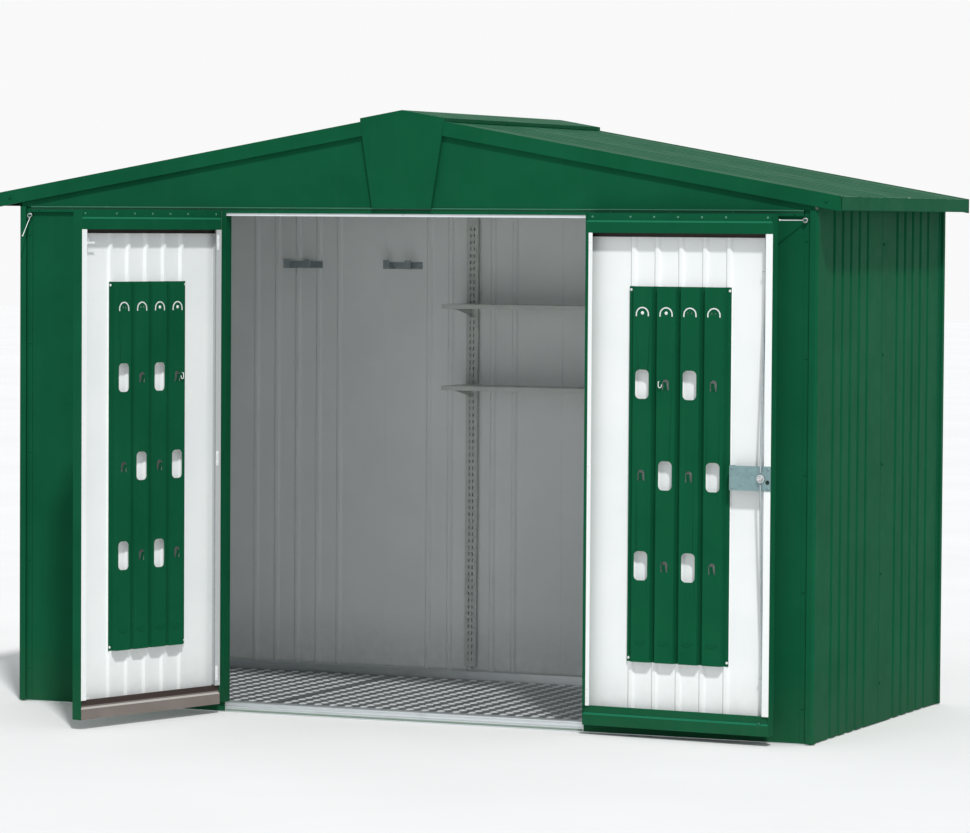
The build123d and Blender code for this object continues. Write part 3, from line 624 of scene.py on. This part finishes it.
HEX_SCREW = [
    (0.0068, 0.0), (0.0068, 0.0008), (0.0042, 0.0011), (0.0040, 0.0038), (0.0030, 0.0044), (0, 0.0046),
]
PAN_SCREW = [(0.0048, 0.0), (0.0046, 0.0010), (0.0036, 0.0021), (0.0018, 0.0026), (0, 0.0027)]
SMALL_SCREW = resized(PAN_SCREW, 0.7, 0.8)
HEAD_SCREW = resized(PAN_SCREW, 0.8, 0.8)
ARCH_STUD = resized(PAN_SCREW, 1.25, 1)
RIVET = [(0.0040, 0.0), (0.0036, 0.0008), (0.0022, 0.0014), (0, 0.0016)]
LOCK_RIVET = [(0.0072, 0.0), (0.0070, 0.0010), (0.0058, 0.0012), (0.0050, 0.0004), (0, 0.0003)]
SPINDLE_HEAD = [
    (0.0085, 0.0), (0.0095, 0.0012), (0.0095, 0.0058), (0.0082, 0.0078), (0.0042, 0.0084), (0.0036, 0.0066),
    (0, 0.0062),
]
STAY_BALL = [
    (0, -0.0042), (0.0024, -0.0034), (0.0038, -0.0016), (0.0042, 0), (0.0038, 0.0016), (0.0024, 0.0034),
    (0, 0.0042),
]
BOARD_DOT = [(0.0032, -0.0003), (0.0028, 0.0010), (0.0016, 0.0016), (0, 0.0017)]


def fixings(name, places, profile, material, body):
    """One mesh of many heads at places of (point, normal)."""
    shape = bmesh.new()
    for point, normal in places:
        turned(shape, profile, standing_on(point, normal), 12)
    return make_piece(name, shape, material, body, smooth=40)


# The finish of the CAD nodes

paint = green_paint()
zinc_finish = zinc("galvanised_steel", ZINC)
lock_sheet = zinc("lock_sheet", LOCK_GREY, 0.35)
handle_finish = lock_finish()
plain_steel = bright_steel("bright_wire")
pale_wire = painted("pale_wire", WIRE_PAINT, 0.38)
# painted highlight on the rivet heads
rivet_highlight_paint = painted("rivet_highlight_paint", RIVET_HIGHLIGHT_GREEN, 0.40)
white_head = painted("white_screw_head", WHITE, 0.40)
# the bead's lighter green is a painted highlight
bead_highlight_paint = painted("bead_highlight_paint", HIGHLIGHT_GREEN)
sill_foot = painted("sill_foot", SILL_FOOT, 0.55)
# painted shade for gaps and a hole
gap_shade = painted("painted_gap_shade", GAP_SHADE_GREEN, 0.8)
# painted shade on the flange's back coating
rail_shade = painted("rail_back_flange", FLANGE_SHADE_DARK, 0.7)
head_paint = painted("pale_head", HEAD_PAINT)
shelf_paint = painted("grey_shelf", SHELF)
# painted shade on the plate and painted highlight on its crowns
tread = aluminium("tread_plate", TREAD_DIRT_AND_SHADE, 0.34, (1, 8, 1))
tread_crown_highlight = aluminium("tread_crowns", TREAD_CROWN_HIGHLIGHT, 0.30, (1, 8, 1), 0.4)
profile_finish = aluminium("aluminium_profile", ALUMINIUM, 0.36, (0.2, 8, 8))

SKINS = {
    "front": two_sided("green_outside_front", (0, -1, 0)),
    "back": two_sided("green_outside_back", (0, 1, 0)),
    LEFT: two_sided("green_outside_left", (-1, 0, 0)),
    RIGHT: two_sided("green_outside_right", (1, 0, 0)),
    "roof": two_sided("green_outside_roof", (0, 0, 1)),
}
LEAF_SKINS, BOARD_SKINS, RAILS, STILES = {}, {}, {}, {}
for side in (LEFT, RIGHT):
    LEAF_SKINS[side] = two_sided(f"green_outside_{side}_leaf", leaf_outwards(side), 0.3)
    BOARD_SKINS[side] = two_sided(f"green_front_{side}_board", -leaf_outwards(side))
    RAILS[side] = rail_paint(side)
    STILES[side] = stile_paint(side)


def finish_of(node):
    """The material of a CAD node, from its name."""
    side = node.split("_")[0]
    if node.startswith("base_frame"):
        return profile_finish
    if node == "floor_plates":
        return tread
    if node.startswith("front_wall") or node.startswith("gable_front"):
        return SKINS["front"]
    if node.startswith("back_wall") or node == "gable_back":
        return SKINS["back"]
    if "_wall_panel_" in node:
        return SKINS[side]
    if node.startswith("roof_panel"):
        return SKINS["roof"]
    if node.endswith("_door_skin"):
        return LEAF_SKINS[side]
    if node.endswith("_tool_board"):
        return BOARD_SKINS[side]
    if node.endswith("_door_stiles"):
        return STILES[side]
    if node.endswith("_door_rails"):
        return RAILS[side]
    if node == "door_head":
        return head_paint
    if node.startswith("shelf_"):
        return shelf_paint
    if node == "lock_handle":
        return handle_finish
    if node == "lock_plate":
        return lock_sheet
    if node.endswith("_stay"):
        return plain_steel
    if node == "tool_hangers" or node.startswith("lock_"):
        return zinc_finish
    if node == "left_door_bolts":
        return pale_wire
    return paint


for name, node in frame["nodes"].items():
    node.data.materials.clear()
    node.data.materials.append(finish_of(name))


# Tread plate

def tread_lugs():
    """Pressed lozenges in rows and columns over each floor plate."""
    pitch = Vector((0.060, 0.057))
    border = 0.014
    spare = 0.02               # part of a pitch that a last column may lack
    low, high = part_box("floor_plates")
    edges = [low.x, *floor_seams(), high.x]
    rows = int((high.y - low.y - 2 * border) / pitch.y)
    shape = bmesh.new()
    for start, end in zip(edges, edges[1:]):
        columns = int((end - start) / pitch.x + spare)
        first = (start + end - (columns - 1) * pitch.x) / 2
        for column in range(columns):
            for row in range(rows):
                lug(shape, Vector((first + column * pitch.x, low.y + border + (row + 0.5) * pitch.y, high.z)))
    # the crowns' near white is a painted highlight
    return make_piece("tread_lugs", shape, tread_crown_highlight, "shell", smooth=75)


def floor_seams():
    """X of the seams between the floor plates."""
    xs = sorted({round(v.co.x, 5) for v in frame["nodes"]["floor_plates"].data.vertices})
    inner = xs[1:-1]
    return [(a + b) / 2 for a, b in zip(inner[::2], inner[1::2])]


def lug(shape, foot):
    """A pillow with pointed ends that stands on the plate."""
    half_width, half_length, height = 0.0160, 0.0225, 0.0035
    waist = 0.35               # how much narrower its ends are than an ellipse's
    steps = 12
    rings = []
    for reach, rise in ((1.0, 0.0), (0.72, 0.62), (0.36, 0.93)):
        ring = []
        for step in range(steps):
            angle = 2 * math.pi * step / steps
            across = half_width * math.cos(angle) * (1 - waist * abs(math.sin(angle)))
            point = Vector((across * reach, half_length * math.sin(angle) * reach, height * rise))
            ring.append(shape.verts.new(foot + point))
        rings.append(ring)
    skin(shape, rings, capped=False)
    top = shape.verts.new(foot + Vector((0, 0, height)))
    for step in range(steps):
        shape.faces.new((rings[-1][step], rings[-1][(step + 1) % steps], top))


# Shelf uprights with their slots

def slotted_uprights():
    """The two lipped channels, their fronts punched with pairs of slots."""
    sheet, width, lip = 0.0015, 0.046, 0.012
    slot_pitch, slot_height, slot_width, slot_gap = 0.025, 0.013, 0.004, 0.010
    first_slot = 0.75 * slot_pitch
    low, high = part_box("shelf_uprights")
    count = int((high.z - low.z - slot_pitch) / slot_pitch)
    zs = [low.z]
    for index in range(count):
        start = low.z + first_slot + slot_pitch * index
        zs += [start, start + slot_height]
    zs.append(high.z)
    shape = bmesh.new()
    for x0, x1 in ((low.x, low.x + width), (high.x - width, high.x)):
        slots = [(x0 + x1) / 2 + a for a in (-slot_gap / 2, slot_gap / 2)]
        xs = [x0, slots[0] - slot_width, *slots, slots[1] + slot_width, x1]
        for row, (z0, z1) in enumerate(zip(zs, zs[1:])):
            has_slots = row % 2 == 1
            spans = ((xs[0], xs[1]), (xs[2], xs[3]), (xs[4], xs[5])) if has_slots else ((x0, x1),)
            for a, b in spans:
                add_box(shape, (a, low.y, z0), (b, low.y + sheet, z1))
        for a, b in ((x0, x0 + sheet), (x1 - sheet, x1)):
            add_box(shape, (a, low.y + sheet, low.z), (b, high.y, high.z))
        for a, b in ((x0 + sheet, x0 + lip), (x1 - lip, x1 - sheet)):
            add_box(shape, (a, high.y - sheet, low.z), (b, high.y, high.z))
    piece = make_piece("slotted_uprights", shape, shelf_paint, "shell")
    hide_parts("shelf_uprights")


# Screws, rivets, beads and ribs on the shell

def steps_between(start, end, count):
    return [start + (end - start) * index / (count - 1) for index in range(count)]


def both_ways(x, y, z, normal):
    """A fixing and its twin on the other side of the shed."""
    return [(Vector((sign * x, y, z)), (sign * normal[0], normal[1], normal[2])) for sign in (-1, 1)]


def shell_fixings():
    """Painted screws along the top rails and down the corner posts."""
    rail_screws, from_end = 14, 0.03
    front_drop = 0.002         # the front row sits a little under the middle of its rail
    places = []
    low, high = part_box("front_top_rail")
    for x in steps_between(low.x + from_end, high.x - from_end, rail_screws):
        places.append((Vector((x, low.y, (low.z + high.z) / 2 - front_drop)), (0, -1, 0)))
    low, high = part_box("back_top_rail")
    for x in steps_between(low.x + from_end, high.x - from_end, rail_screws):
        places.append((Vector((x, high.y, (low.z + high.z) / 2)), (0, 1, 0)))
    low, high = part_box("corner_post_front_right")
    groove_x = low.x + 0.010
    groove_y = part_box("front_wall_right")[0].y - POST_SHEET
    from_foot, from_top = 0.12, 0.10
    for z in steps_between(from_foot, high.z - from_top, 5):
        places += both_ways(groove_x, groove_y, z, (0, -1, 0))
        places += both_ways(groove_x, -groove_y, z, (0, 1, 0))
    fixings("shell_screws", places, PAN_SCREW, paint, "shell")


def lap_screws():
    """Hexagon screws down the wall laps and on the front verges, and rivets on the back verges."""
    places = []
    heights = steps_between(LAP_SCREWS_FROM, LAP_SCREWS_TO, 5)
    back_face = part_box("back_wall_panel_1")[1].y
    for x in BACK_LAPS:
        for z in heights:
            places.append((Vector((x, back_face, z)), (0, 1, 0)))
    side_face = max(abs(corner.x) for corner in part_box("right_wall_panel_front"))
    for z in heights:
        places += both_ways(side_face, SIDE_LAP, z, (1, 0, 0))
    low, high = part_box("verge_trims_front")
    slope = (high.z - low.z - VERGE_FACE) / high.x
    x = high.x - VERGE_SCREW_IN
    z = high.z - x * slope - VERGE_FACE / 2
    places += both_ways(x, low.y, z, (0, -1, 0))
    fixings("lap_screws", places, HEX_SCREW, paint, "shell")
    fixings("back_verge_rivets", both_ways(x, -low.y, z, (0, 1, 0)), RIVET, paint, "shell")


def strip(shape, reach, y, z, radius, points, steps):
    """A round strip along X that reaches as far to the left as to the right."""
    tube(shape, [(x, y, z) for x in steps_between(-reach, reach, points)], radius, steps)


def front_bead():
    """Rolled bead along the top of the front rail, in a lighter green as a painted highlight, between two
    near-black strips of painted shade in the gaps above and below it.
    """
    low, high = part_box("front_top_rail")
    bead_sunk, bead_drop = 0.0005, 0.0015
    bead = bmesh.new()
    strip(bead, BEAD_REACH, low.y + bead_sunk, high.z - bead_drop, radius=0.0026, points=9, steps=10)
    make_piece("front_rail_bead", bead, bead_highlight_paint, "shell", smooth=50)
    # near-black strips that stand in for the shade in the gaps: painted shade
    gap_sunk, upper_rise, lower_drop = 0.0012, 0.0012, 0.0075
    gaps = bmesh.new()
    for y, z in ((GABLE_FACE, high.z + upper_rise), (low.y, high.z - lower_drop)):
        strip(gaps, BEAD_REACH, y + gap_sunk, z, radius=0.0018, points=9, steps=6)
    make_piece("front_rail_gap_shades", gaps, gap_shade, "shell", smooth=50)


def sill_ribs():
    """Three rolled ribs along the front sill where the doorway shows it."""
    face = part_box("base_frame_front")[0].y
    sunk = 0.4                 # of a rib's radius
    ribs = (
        ("top", 0.0312, 0.0032, profile_finish),
        ("middle", 0.0200, 0.0052, profile_finish),
        ("foot", 0.0075, 0.0040, sill_foot),
    )
    for name, z, radius, material in ribs:
        shape = bmesh.new()
        strip(shape, DOORWAY_REACH, face + radius * sunk, z, radius, points=5, steps=14)
        make_piece(f"sill_rib_{name}", shape, material, "shell", smooth=50)


def head_screw():
    """The screw in the middle of the door head."""
    place = Vector((0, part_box("door_head")[0].y, HEAD_SCREW_Z))
    fixings("head_screw", [(place, (0, -1, 0))], HEAD_SCREW, plain_steel, "shell")


# Leaves: rivets, screws, hinge plates and flanges

def leaf_heads(side, name, spots, profile, material):
    """Heads at spots in leaf coordinates, standing inwards."""
    places = [(LEAF[side] @ Vector(spot), -leaf_outwards(side)) for spot in spots]
    fixings(f"{side}_{name}", places, profile, material, f"{side}_door")


def rail_rivets(side):
    """Rivets along the upper rail's set-back strip, by each stile and on each rib, in a lighter green than
    the rail as a painted highlight.
    """
    row = (RIVET_FROM_EDGE, *rib_lines(LEAF_RIBS), LEAF_WIDTH - RIVET_FROM_EDGE)
    spots = [(along, RAIL_STRIP_FACE, RAIL_STRIP_Z) for along in row]
    # the rivet heads' lighter green is a painted highlight
    leaf_heads(side, "rail_rivets", spots, RIVET, rivet_highlight_paint)


def board_screws(side):
    """Bright screws in a board's corners, and small green ones down its valleys and at its sides."""
    low, high = leaf_box(side, f"{side}_tool_board")
    seat = RIB_DEPTH + 2 * SHEET
    margin, inset = 0.006, 0.02
    sides = (low.x + margin, high.x - margin)
    ends = (low.z + margin * 2, high.z - margin * 2)
    corners = [(along, seat, up) for along in sides for up in ends]
    leaf_heads(side, "board_corner_screws", corners, PAN_SCREW, pale_wire)
    heights = (low.z + inset, BOARD_MIDDLE_Z, high.z - inset)
    spots = [(along, seat, up) for along in rib_lines(FLUTES - 1) for up in heights]
    spots += [(along, seat, BOARD_MIDDLE_Z) for along in sides]
    leaf_heads(side, "board_valley_screws", spots, SMALL_SCREW, paint)


def hinge_plates(side):
    """A plate with two screws on the hinge stile at each hinge."""
    sunk, rise, corner = 0.0002, 0.0008, 0.003
    face = LEAF_DEPTH + rise
    steps = (-HINGE_SCREW_STEP, HINGE_SCREW_STEP)
    spots = [(HINGE_PLATE_ALONG, face, up + step) for up in HINGE_HEIGHTS for step in steps]
    leaf_heads(side, "hinge_screws", spots, SMALL_SCREW, white_head)
    plates = bmesh.new()
    for up in HINGE_HEIGHTS:
        prism(plates, rounded(HINGE_PLATE_ALONG, up, *HINGE_PLATE_HALF, corner), LEAF_DEPTH - sunk, face)
    face_outwards(plates)
    name = f"{side}_hinge_plates"
    make_piece(name, plates, white_head, f"{side}_door", LEAF[side])


def rail_flange(side):
    """The folded flange behind the upper rail, its back coating darkened to near black as painted shade."""
    outer, inner, lip = 0.0090, 0.0098, 0.0130
    gap = 0.0016               # between the flange and the leaf's edges
    outline = [
        (outer, FLANGE_TOP), (outer, FLANGE_BOTTOM), (lip, FLANGE_BOTTOM),
        (lip, FLANGE_BOTTOM + SHEET), (inner, FLANGE_BOTTOM + SHEET), (inner, FLANGE_TOP),
    ]
    flange = bmesh.new()
    ends = (gap, LEAF_WIDTH - gap)
    skin(flange, [[flange.verts.new((along, depth, up)) for depth, up in outline] for along in ends])
    face_outwards(flange)
    make_piece(f"{side}_rail_flange", flange, rail_shade, f"{side}_door", LEAF[side])


# Lock, bolts and stays

def lock_details():
    """Head of the spindle, rivet and screws of the lock plate, and the rod's notch in the lower rail."""
    place = LEAF[RIGHT]
    face = LEAF_DEPTH + LOCK_SHEET
    head = bmesh.new()
    turned(head, SPINDLE_HEAD, on_leaf(LOCK_ALONG, SPINDLE_END, LOCK_UP), 24)
    make_piece("lock_spindle_head", head, plain_steel, "lock_handle", place, smooth=35)
    rivet = bmesh.new()
    turned(rivet, LOCK_RIVET, on_leaf(LOCK_ALONG + 0.0235, face, LOCK_UP - 0.012), 20)
    # the rivet is drawn in the near-black of the painted shade
    make_piece("lock_plate_rivet", rivet, gap_shade, "right_door", place, smooth=35)
    screws = bmesh.new()
    for along in LOCK_SCREWS_ALONG:
        for up in LOCK_SCREWS_UP:
            turned(screws, PAN_SCREW, on_leaf(along, face, up), 12)
    make_piece("lock_plate_screws", screws, lock_sheet, "right_door", place, smooth=40)
    notch = bmesh.new()
    half, top, tip = 0.006, 0.0785, 0.0695
    sunk, proud = 0.0052, 0.0006
    outline = [(LOCK_ALONG - half, top), (LOCK_ALONG + half, top), (LOCK_ALONG, tip)]
    prism(notch, outline, LEAF_DEPTH - sunk, LEAF_DEPTH + proud)
    face_outwards(notch)
    # the notch takes the lighter green of the bead: a painted highlight
    make_piece("lower_rod_notch", notch, bead_highlight_paint, "right_door", place)


def bolt_grips():
    """Drawn-wire grips of the left leaf's bolts: a loop above and a curl below."""
    wire, loop, curl = 0.0017, 0.007, 0.006
    grips = bmesh.new()
    points = [(BOLT_ALONG, BOLT_UPPER_Z + 0.006), (BOLT_ALONG, BOLT_UPPER_Z)]
    points += arc((BOLT_ALONG - loop, BOLT_UPPER_Z), loop, 0, -180, 8)
    points += [(BOLT_ALONG - 2 * loop, BOLT_UPPER_Z + 0.010)]
    tube(grips, at_depth(points, BOLT_DEPTH), wire)
    points = [(BOLT_ALONG, BOLT_LOWER_Z - 0.012), (BOLT_ALONG, BOLT_LOWER_Z)]
    points += arc((BOLT_ALONG - curl, BOLT_LOWER_Z), curl, 0, 150, 6)
    tube(grips, at_depth(points, BOLT_DEPTH), wire)
    make_piece("left_bolt_grips", grips, pale_wire, "left_door", LEAF[LEFT], smooth=60)


def bolt_tabs():
    """Small pale tabs in front of the left leaf's bolts."""
    half_height, corner = 0.0036, 0.0030
    near, far = BOLT_DEPTH + 0.0030, BOLT_DEPTH + 0.0046   # the tabs' two faces
    tabs = bmesh.new()
    for up, before, after in ((1.6510, 0.042, 0.004), (0.1035, 0.018, 0.010)):
        middle = BOLT_ALONG + (after - before) / 2
        prism(tabs, rounded(middle, up, (before + after) / 2, half_height, corner), near, far)
    face_outwards(tabs)
    make_piece("left_bolt_tabs", tabs, white_head, "left_door", LEAF[LEFT])


def stay_ends():
    """Two more turns of wire on each stay's ring, and a small ball at its tip."""
    wire, radius, drop = 0.0013, 0.0078, 0.0042
    turns, steps = 2, 40
    for side, sign in ((LEFT, -1), (RIGHT, 1)):
        centre = Vector((sign * STAY_X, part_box(f"{side}_stay")[1].y - 0.002, STAY_Z))
        ring = []
        for step in range(steps + 1):
            angle = 2 * math.pi * turns * step / steps
            reach = radius * Vector((math.cos(angle), 0, math.sin(angle)))
            ring.append(centre + reach - Vector((0, drop * step / steps, 0)))
        shape = bmesh.new()
        tube(shape, ring, wire)
        turned(shape, STAY_BALL, Matrix.Translation(stay_tip(side, centre)), 12)
        make_piece(f"{side}_stay_ends", shape, plain_steel, f"{side}_stay", smooth=60)


def stay_tip(side, centre):
    """The end of a stay's wire: the middle of the corners that lie furthest from its ring."""
    end_depth = 0.0022
    points = [v.co for v in frame["nodes"][f"{side}_stay"].data.vertices]
    far = max((p - centre).length for p in points)
    ends = [p for p in points if (p - centre).length > far - end_depth]
    return sum(ends, Vector()) / len(ends)


# Tool boards: punched arches and hooks, pressed arcs

def arch_lines(column, outer, inner, leg):
    """The two edges of an upside-down U that stands on its legs."""
    foot = ARCH_Z - leg
    lines = []
    for radius in (outer, inner):
        round_top = arc((column, ARCH_Z), radius, 0, 180)
        lines.append([(column + radius, foot), *round_top, (column - radius, foot)])
    return lines


def hook_places(side, columns):
    """Middle of each lanced hook: where a row has no slot."""
    places = []
    for up, slotted in zip(SLOT_ROWS, SLOTTED[side]):
        places += [(columns[index], up) for index in range(FLUTES) if index not in slotted]
    return places


def board_cutters(side, columns):
    """Everything that is punched out of a board, as one mesh in leaf coordinates."""
    low, high = BOARD_CROWN - 0.006, BOARD_CROWN + 0.004   # through the sheet, with room to spare
    hole, hole_offset, hole_z = 0.0026, 0.007, ARCH_Z + 0.006
    half = HOOK_OPENING / 2
    shape = bmesh.new()
    for index, column in enumerate(columns):
        band(shape, *arch_lines(column, ARCH_OUTER, ARCH_INNER, ARCH_LEG), low, high)
        if index not in STUDDED:
            for offset in (-hole_offset, hole_offset):
                prism(shape, arc((column + offset, hole_z), hole, 0, 330, 11), low, high)
    for column, up in hook_places(side, columns):
        top, foot = up + HOOK_HALF - half, up - HOOK_HALF
        outline = [*arc((column, top), half, 0, 180), (column - half, foot), (column + half, foot)]
        prism(shape, outline, low, high)
    face_outwards(shape)
    for face in shape.faces:
        face.material_index = 1
    return shape


def cut_board(side, columns):
    """The board's own mesh with its small openings cut, in leaf coordinates."""
    shape = bmesh.new()
    shape.from_mesh(frame["nodes"][f"{side}_tool_board"].data)
    bmesh.ops.remove_doubles(shape, verts=shape.verts, dist=1e-6)
    move(shape, LEAF[side].inverted())
    board = mesh_object(f"{side}_board", shape, BOARD_SKINS[side], pale_wire)
    cutters = mesh_object(f"{side}_cutters", board_cutters(side, columns), BOARD_SKINS[side], pale_wire)
    cut = board.modifiers.new("punched", "BOOLEAN")
    cut.operation = "DIFFERENCE"
    cut.solver = "EXACT"
    cut.object = cutters
    punched = bmesh.new()
    punched.from_mesh(board.evaluated_get(bpy.context.evaluated_depsgraph_get()).to_mesh())
    for thing in (board, cutters):
        bpy.data.objects.remove(thing)
    return punched


def tongue(shape, column, up):
    """A hook lanced from the sheet that leans out towards its tip."""
    half, bend, lean = 0.0065, 0.0018, 0.008
    foot, tip = up - HOOK_HALF, up + HOOK_HALF - 0.010
    section = ((-half, 0), (half, 0), (half, SHEET), (-half, SHEET))
    rings = []
    for rise, height in ((0.0, foot), (bend, foot + 0.003), (lean, tip)):
        back = BOARD_CROWN - SHEET + rise
        rings.append([shape.verts.new((column + a, back + depth, height)) for a, depth in section])
    skin(shape, rings)


def smile(shape, column):
    """A raised arc and a dot near a flute's foot."""
    centre = (column, SMILE_Z + 0.012)
    sunk, proud = 0.0003, 0.0016
    outer, inner = [arc(centre, radius, 205, 335) for radius in (0.0225, 0.0180)]
    band(shape, outer, inner, BOARD_CROWN - sunk, BOARD_CROWN + proud)
    turned(shape, BOARD_DOT, on_leaf(column, BOARD_CROWN, SMILE_Z + 0.005), 10)


def punched_board(side, columns):
    """The cut board with its tongues and pressed arcs, in place of the board's CAD node."""
    shape = cut_board(side, columns)
    for column, up in hook_places(side, columns):
        tongue(shape, column, up)
    for column in columns:
        smile(shape, column)
    name = f"{side}_punched_board"
    piece = make_piece(name, shape, BOARD_SKINS[side], f"{side}_door", LEAF[side])
    piece.data.materials.append(pale_wire)
    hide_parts(f"{side}_tool_board")


def wire_hook(along, up):
    """Points of a wire hook that stands off the board and turns up again."""
    off, bend, turn_z = BOARD_CROWN + 0.007, 0.006, up - 0.004
    points = [(along, BOARD_CROWN, up + 0.010), (along, BOARD_CROWN + 0.006, up + 0.010)]
    points += [(along, off, up + 0.006), (along, off, turn_z)]
    points += at_depth(arc((along + bend, turn_z), bend, 180, 360, 8), off)
    return [*points, (along + 2 * bend, off, up + 0.001)]


def board_wires(side, columns):
    """Bare-metal loops in the arches, whose pale colour also stands in as a painted highlight on the arch
    rims, the studs under two of them, and one wire hook.
    """
    sheet = 0.0008             # half the loop's thickness, and its gap to the arch's edges
    wires = bmesh.new()
    # pale loops: bare metal, and a painted highlight for the bright rims of the arches
    for column in columns:
        lines = arch_lines(column, ARCH_OUTER - sheet, ARCH_INNER + sheet, ARCH_LEG - 0.001)
        band(wires, *lines, BOARD_CROWN - sheet, BOARD_CROWN + sheet)
    face_outwards(wires)
    for index in STUDDED:
        turned(wires, ARCH_STUD, on_leaf(columns[index], BOARD_CROWN, ARCH_Z + 0.004), 14)
    column, up = hook_places(side, columns)[0]
    tube(wires, wire_hook(column - 0.024, up), 0.0016)
    name = f"{side}_board_hook"
    make_piece(name, wires, pale_wire, f"{side}_door", LEAF[side], smooth=60)


# Every piece of the shed

tread_lugs()
slotted_uprights()
shell_fixings()
lap_screws()
front_bead()
sill_ribs()
head_screw()
for side in (LEFT, RIGHT):
    rail_rivets(side)
    board_screws(side)
    hinge_plates(side)
    rail_flange(side)
lock_details()
bolt_grips()
bolt_tabs()
stay_ends()
for side in (LEFT, RIGHT):
    punched_board(side, rib_lines(FLUTES))
    board_wires(side, rib_lines(FLUTES))


# Camera, light and floor

def make_camera():
    forward_level = Vector((-math.sin(CAMERA_YAW), math.cos(CAMERA_YAW), 0))
    right_level = Vector((math.cos(CAMERA_YAW), math.sin(CAMERA_YAW), 0))
    up = Vector((0, 0, 1))
    forward = forward_level * math.cos(CAMERA_PITCH) - up * math.sin(CAMERA_PITCH)
    up_level = up * math.cos(CAMERA_PITCH) + forward_level * math.sin(CAMERA_PITCH)
    right = right_level * math.cos(CAMERA_ROLL) + up_level * math.sin(CAMERA_ROLL)
    over = up_level * math.cos(CAMERA_ROLL) - right_level * math.sin(CAMERA_ROLL)
    turn = Matrix((right, over, -forward)).transposed()
    camera = bpy.data.objects.new("camera", bpy.data.cameras.new("camera"))
    camera.data.sensor_width = SENSOR
    camera.data.lens = FOCAL_PIXELS / PHOTO_WIDTH * SENSOR
    camera.data.clip_end = CAMERA_REACH
    camera.matrix_world = Matrix.Translation(CAMERA_PLACE) @ turn.to_4x4()
    bpy.context.scene.collection.objects.link(camera)
    bpy.context.scene.camera = camera


def make_sun():
    sun = bpy.data.lights.new("sun", "SUN")
    sun.energy = SUN_STRENGTH
    sun.angle = math.radians(SUN_WIDTH)
    lamp = bpy.data.objects.new("sun", sun)
    lamp.rotation_mode = "QUATERNION"
    lamp.rotation_quaternion = SUN_TOWARDS.to_track_quat("Z", "Y")
    bpy.context.scene.collection.objects.link(lamp)


def make_sky():
    """Light from all round, which the camera, gloss and glass see as near white."""
    world = bpy.data.worlds.new("world")
    bpy.context.scene.world = world
    world.use_nodes = True
    nodes, links = world.node_tree.nodes, world.node_tree.links
    light, seen = nodes["Background"], nodes.new("ShaderNodeBackground")
    for background, colour, strength in ((light, SKY, SKY_STRENGTH), (seen, (1, 1, 1), SEEN_STRENGTH)):
        background.inputs["Color"].default_value = (*colour, 1)
        background.inputs["Strength"].default_value = strength
    path = nodes.new("ShaderNodeLightPath")
    ray = path.outputs["Is Camera Ray"]
    for other in ("Is Glossy Ray", "Is Transmission Ray"):
        either = nodes.new("ShaderNodeMath")
        either.operation = "MAXIMUM"
        links.new(ray, either.inputs[0])
        links.new(path.outputs[other], either.inputs[1])
        ray = either.outputs[0]
    mix = nodes.new("ShaderNodeMixShader")
    for socket, source in zip(mix.inputs, (ray, light.outputs[0], seen.outputs[0])):
        links.new(source, socket)
    links.new(mix.outputs[0], nodes["World Output"].inputs["Surface"])


def make_floor():
    n = Nodes("pale_floor")
    n.bump((n.noise(40.0, 3.0), 0.05, 0.001))
    n.finish(n.mix(n.ramp(n.noise(0.8, 3.0), 0.3, 0.7), *FLOOR_TONES), 0.85)
    shape = bmesh.new()
    bmesh.ops.create_grid(shape, x_segments=1, y_segments=1, size=FLOOR_HALF)
    floor = mesh_object("floor", shape, n.material)
    floor.location.z = -FLOOR_DROP


make_camera()
make_sun()
make_sky()
make_floor()
bpy.context.scene.view_settings.view_transform = "Standard"
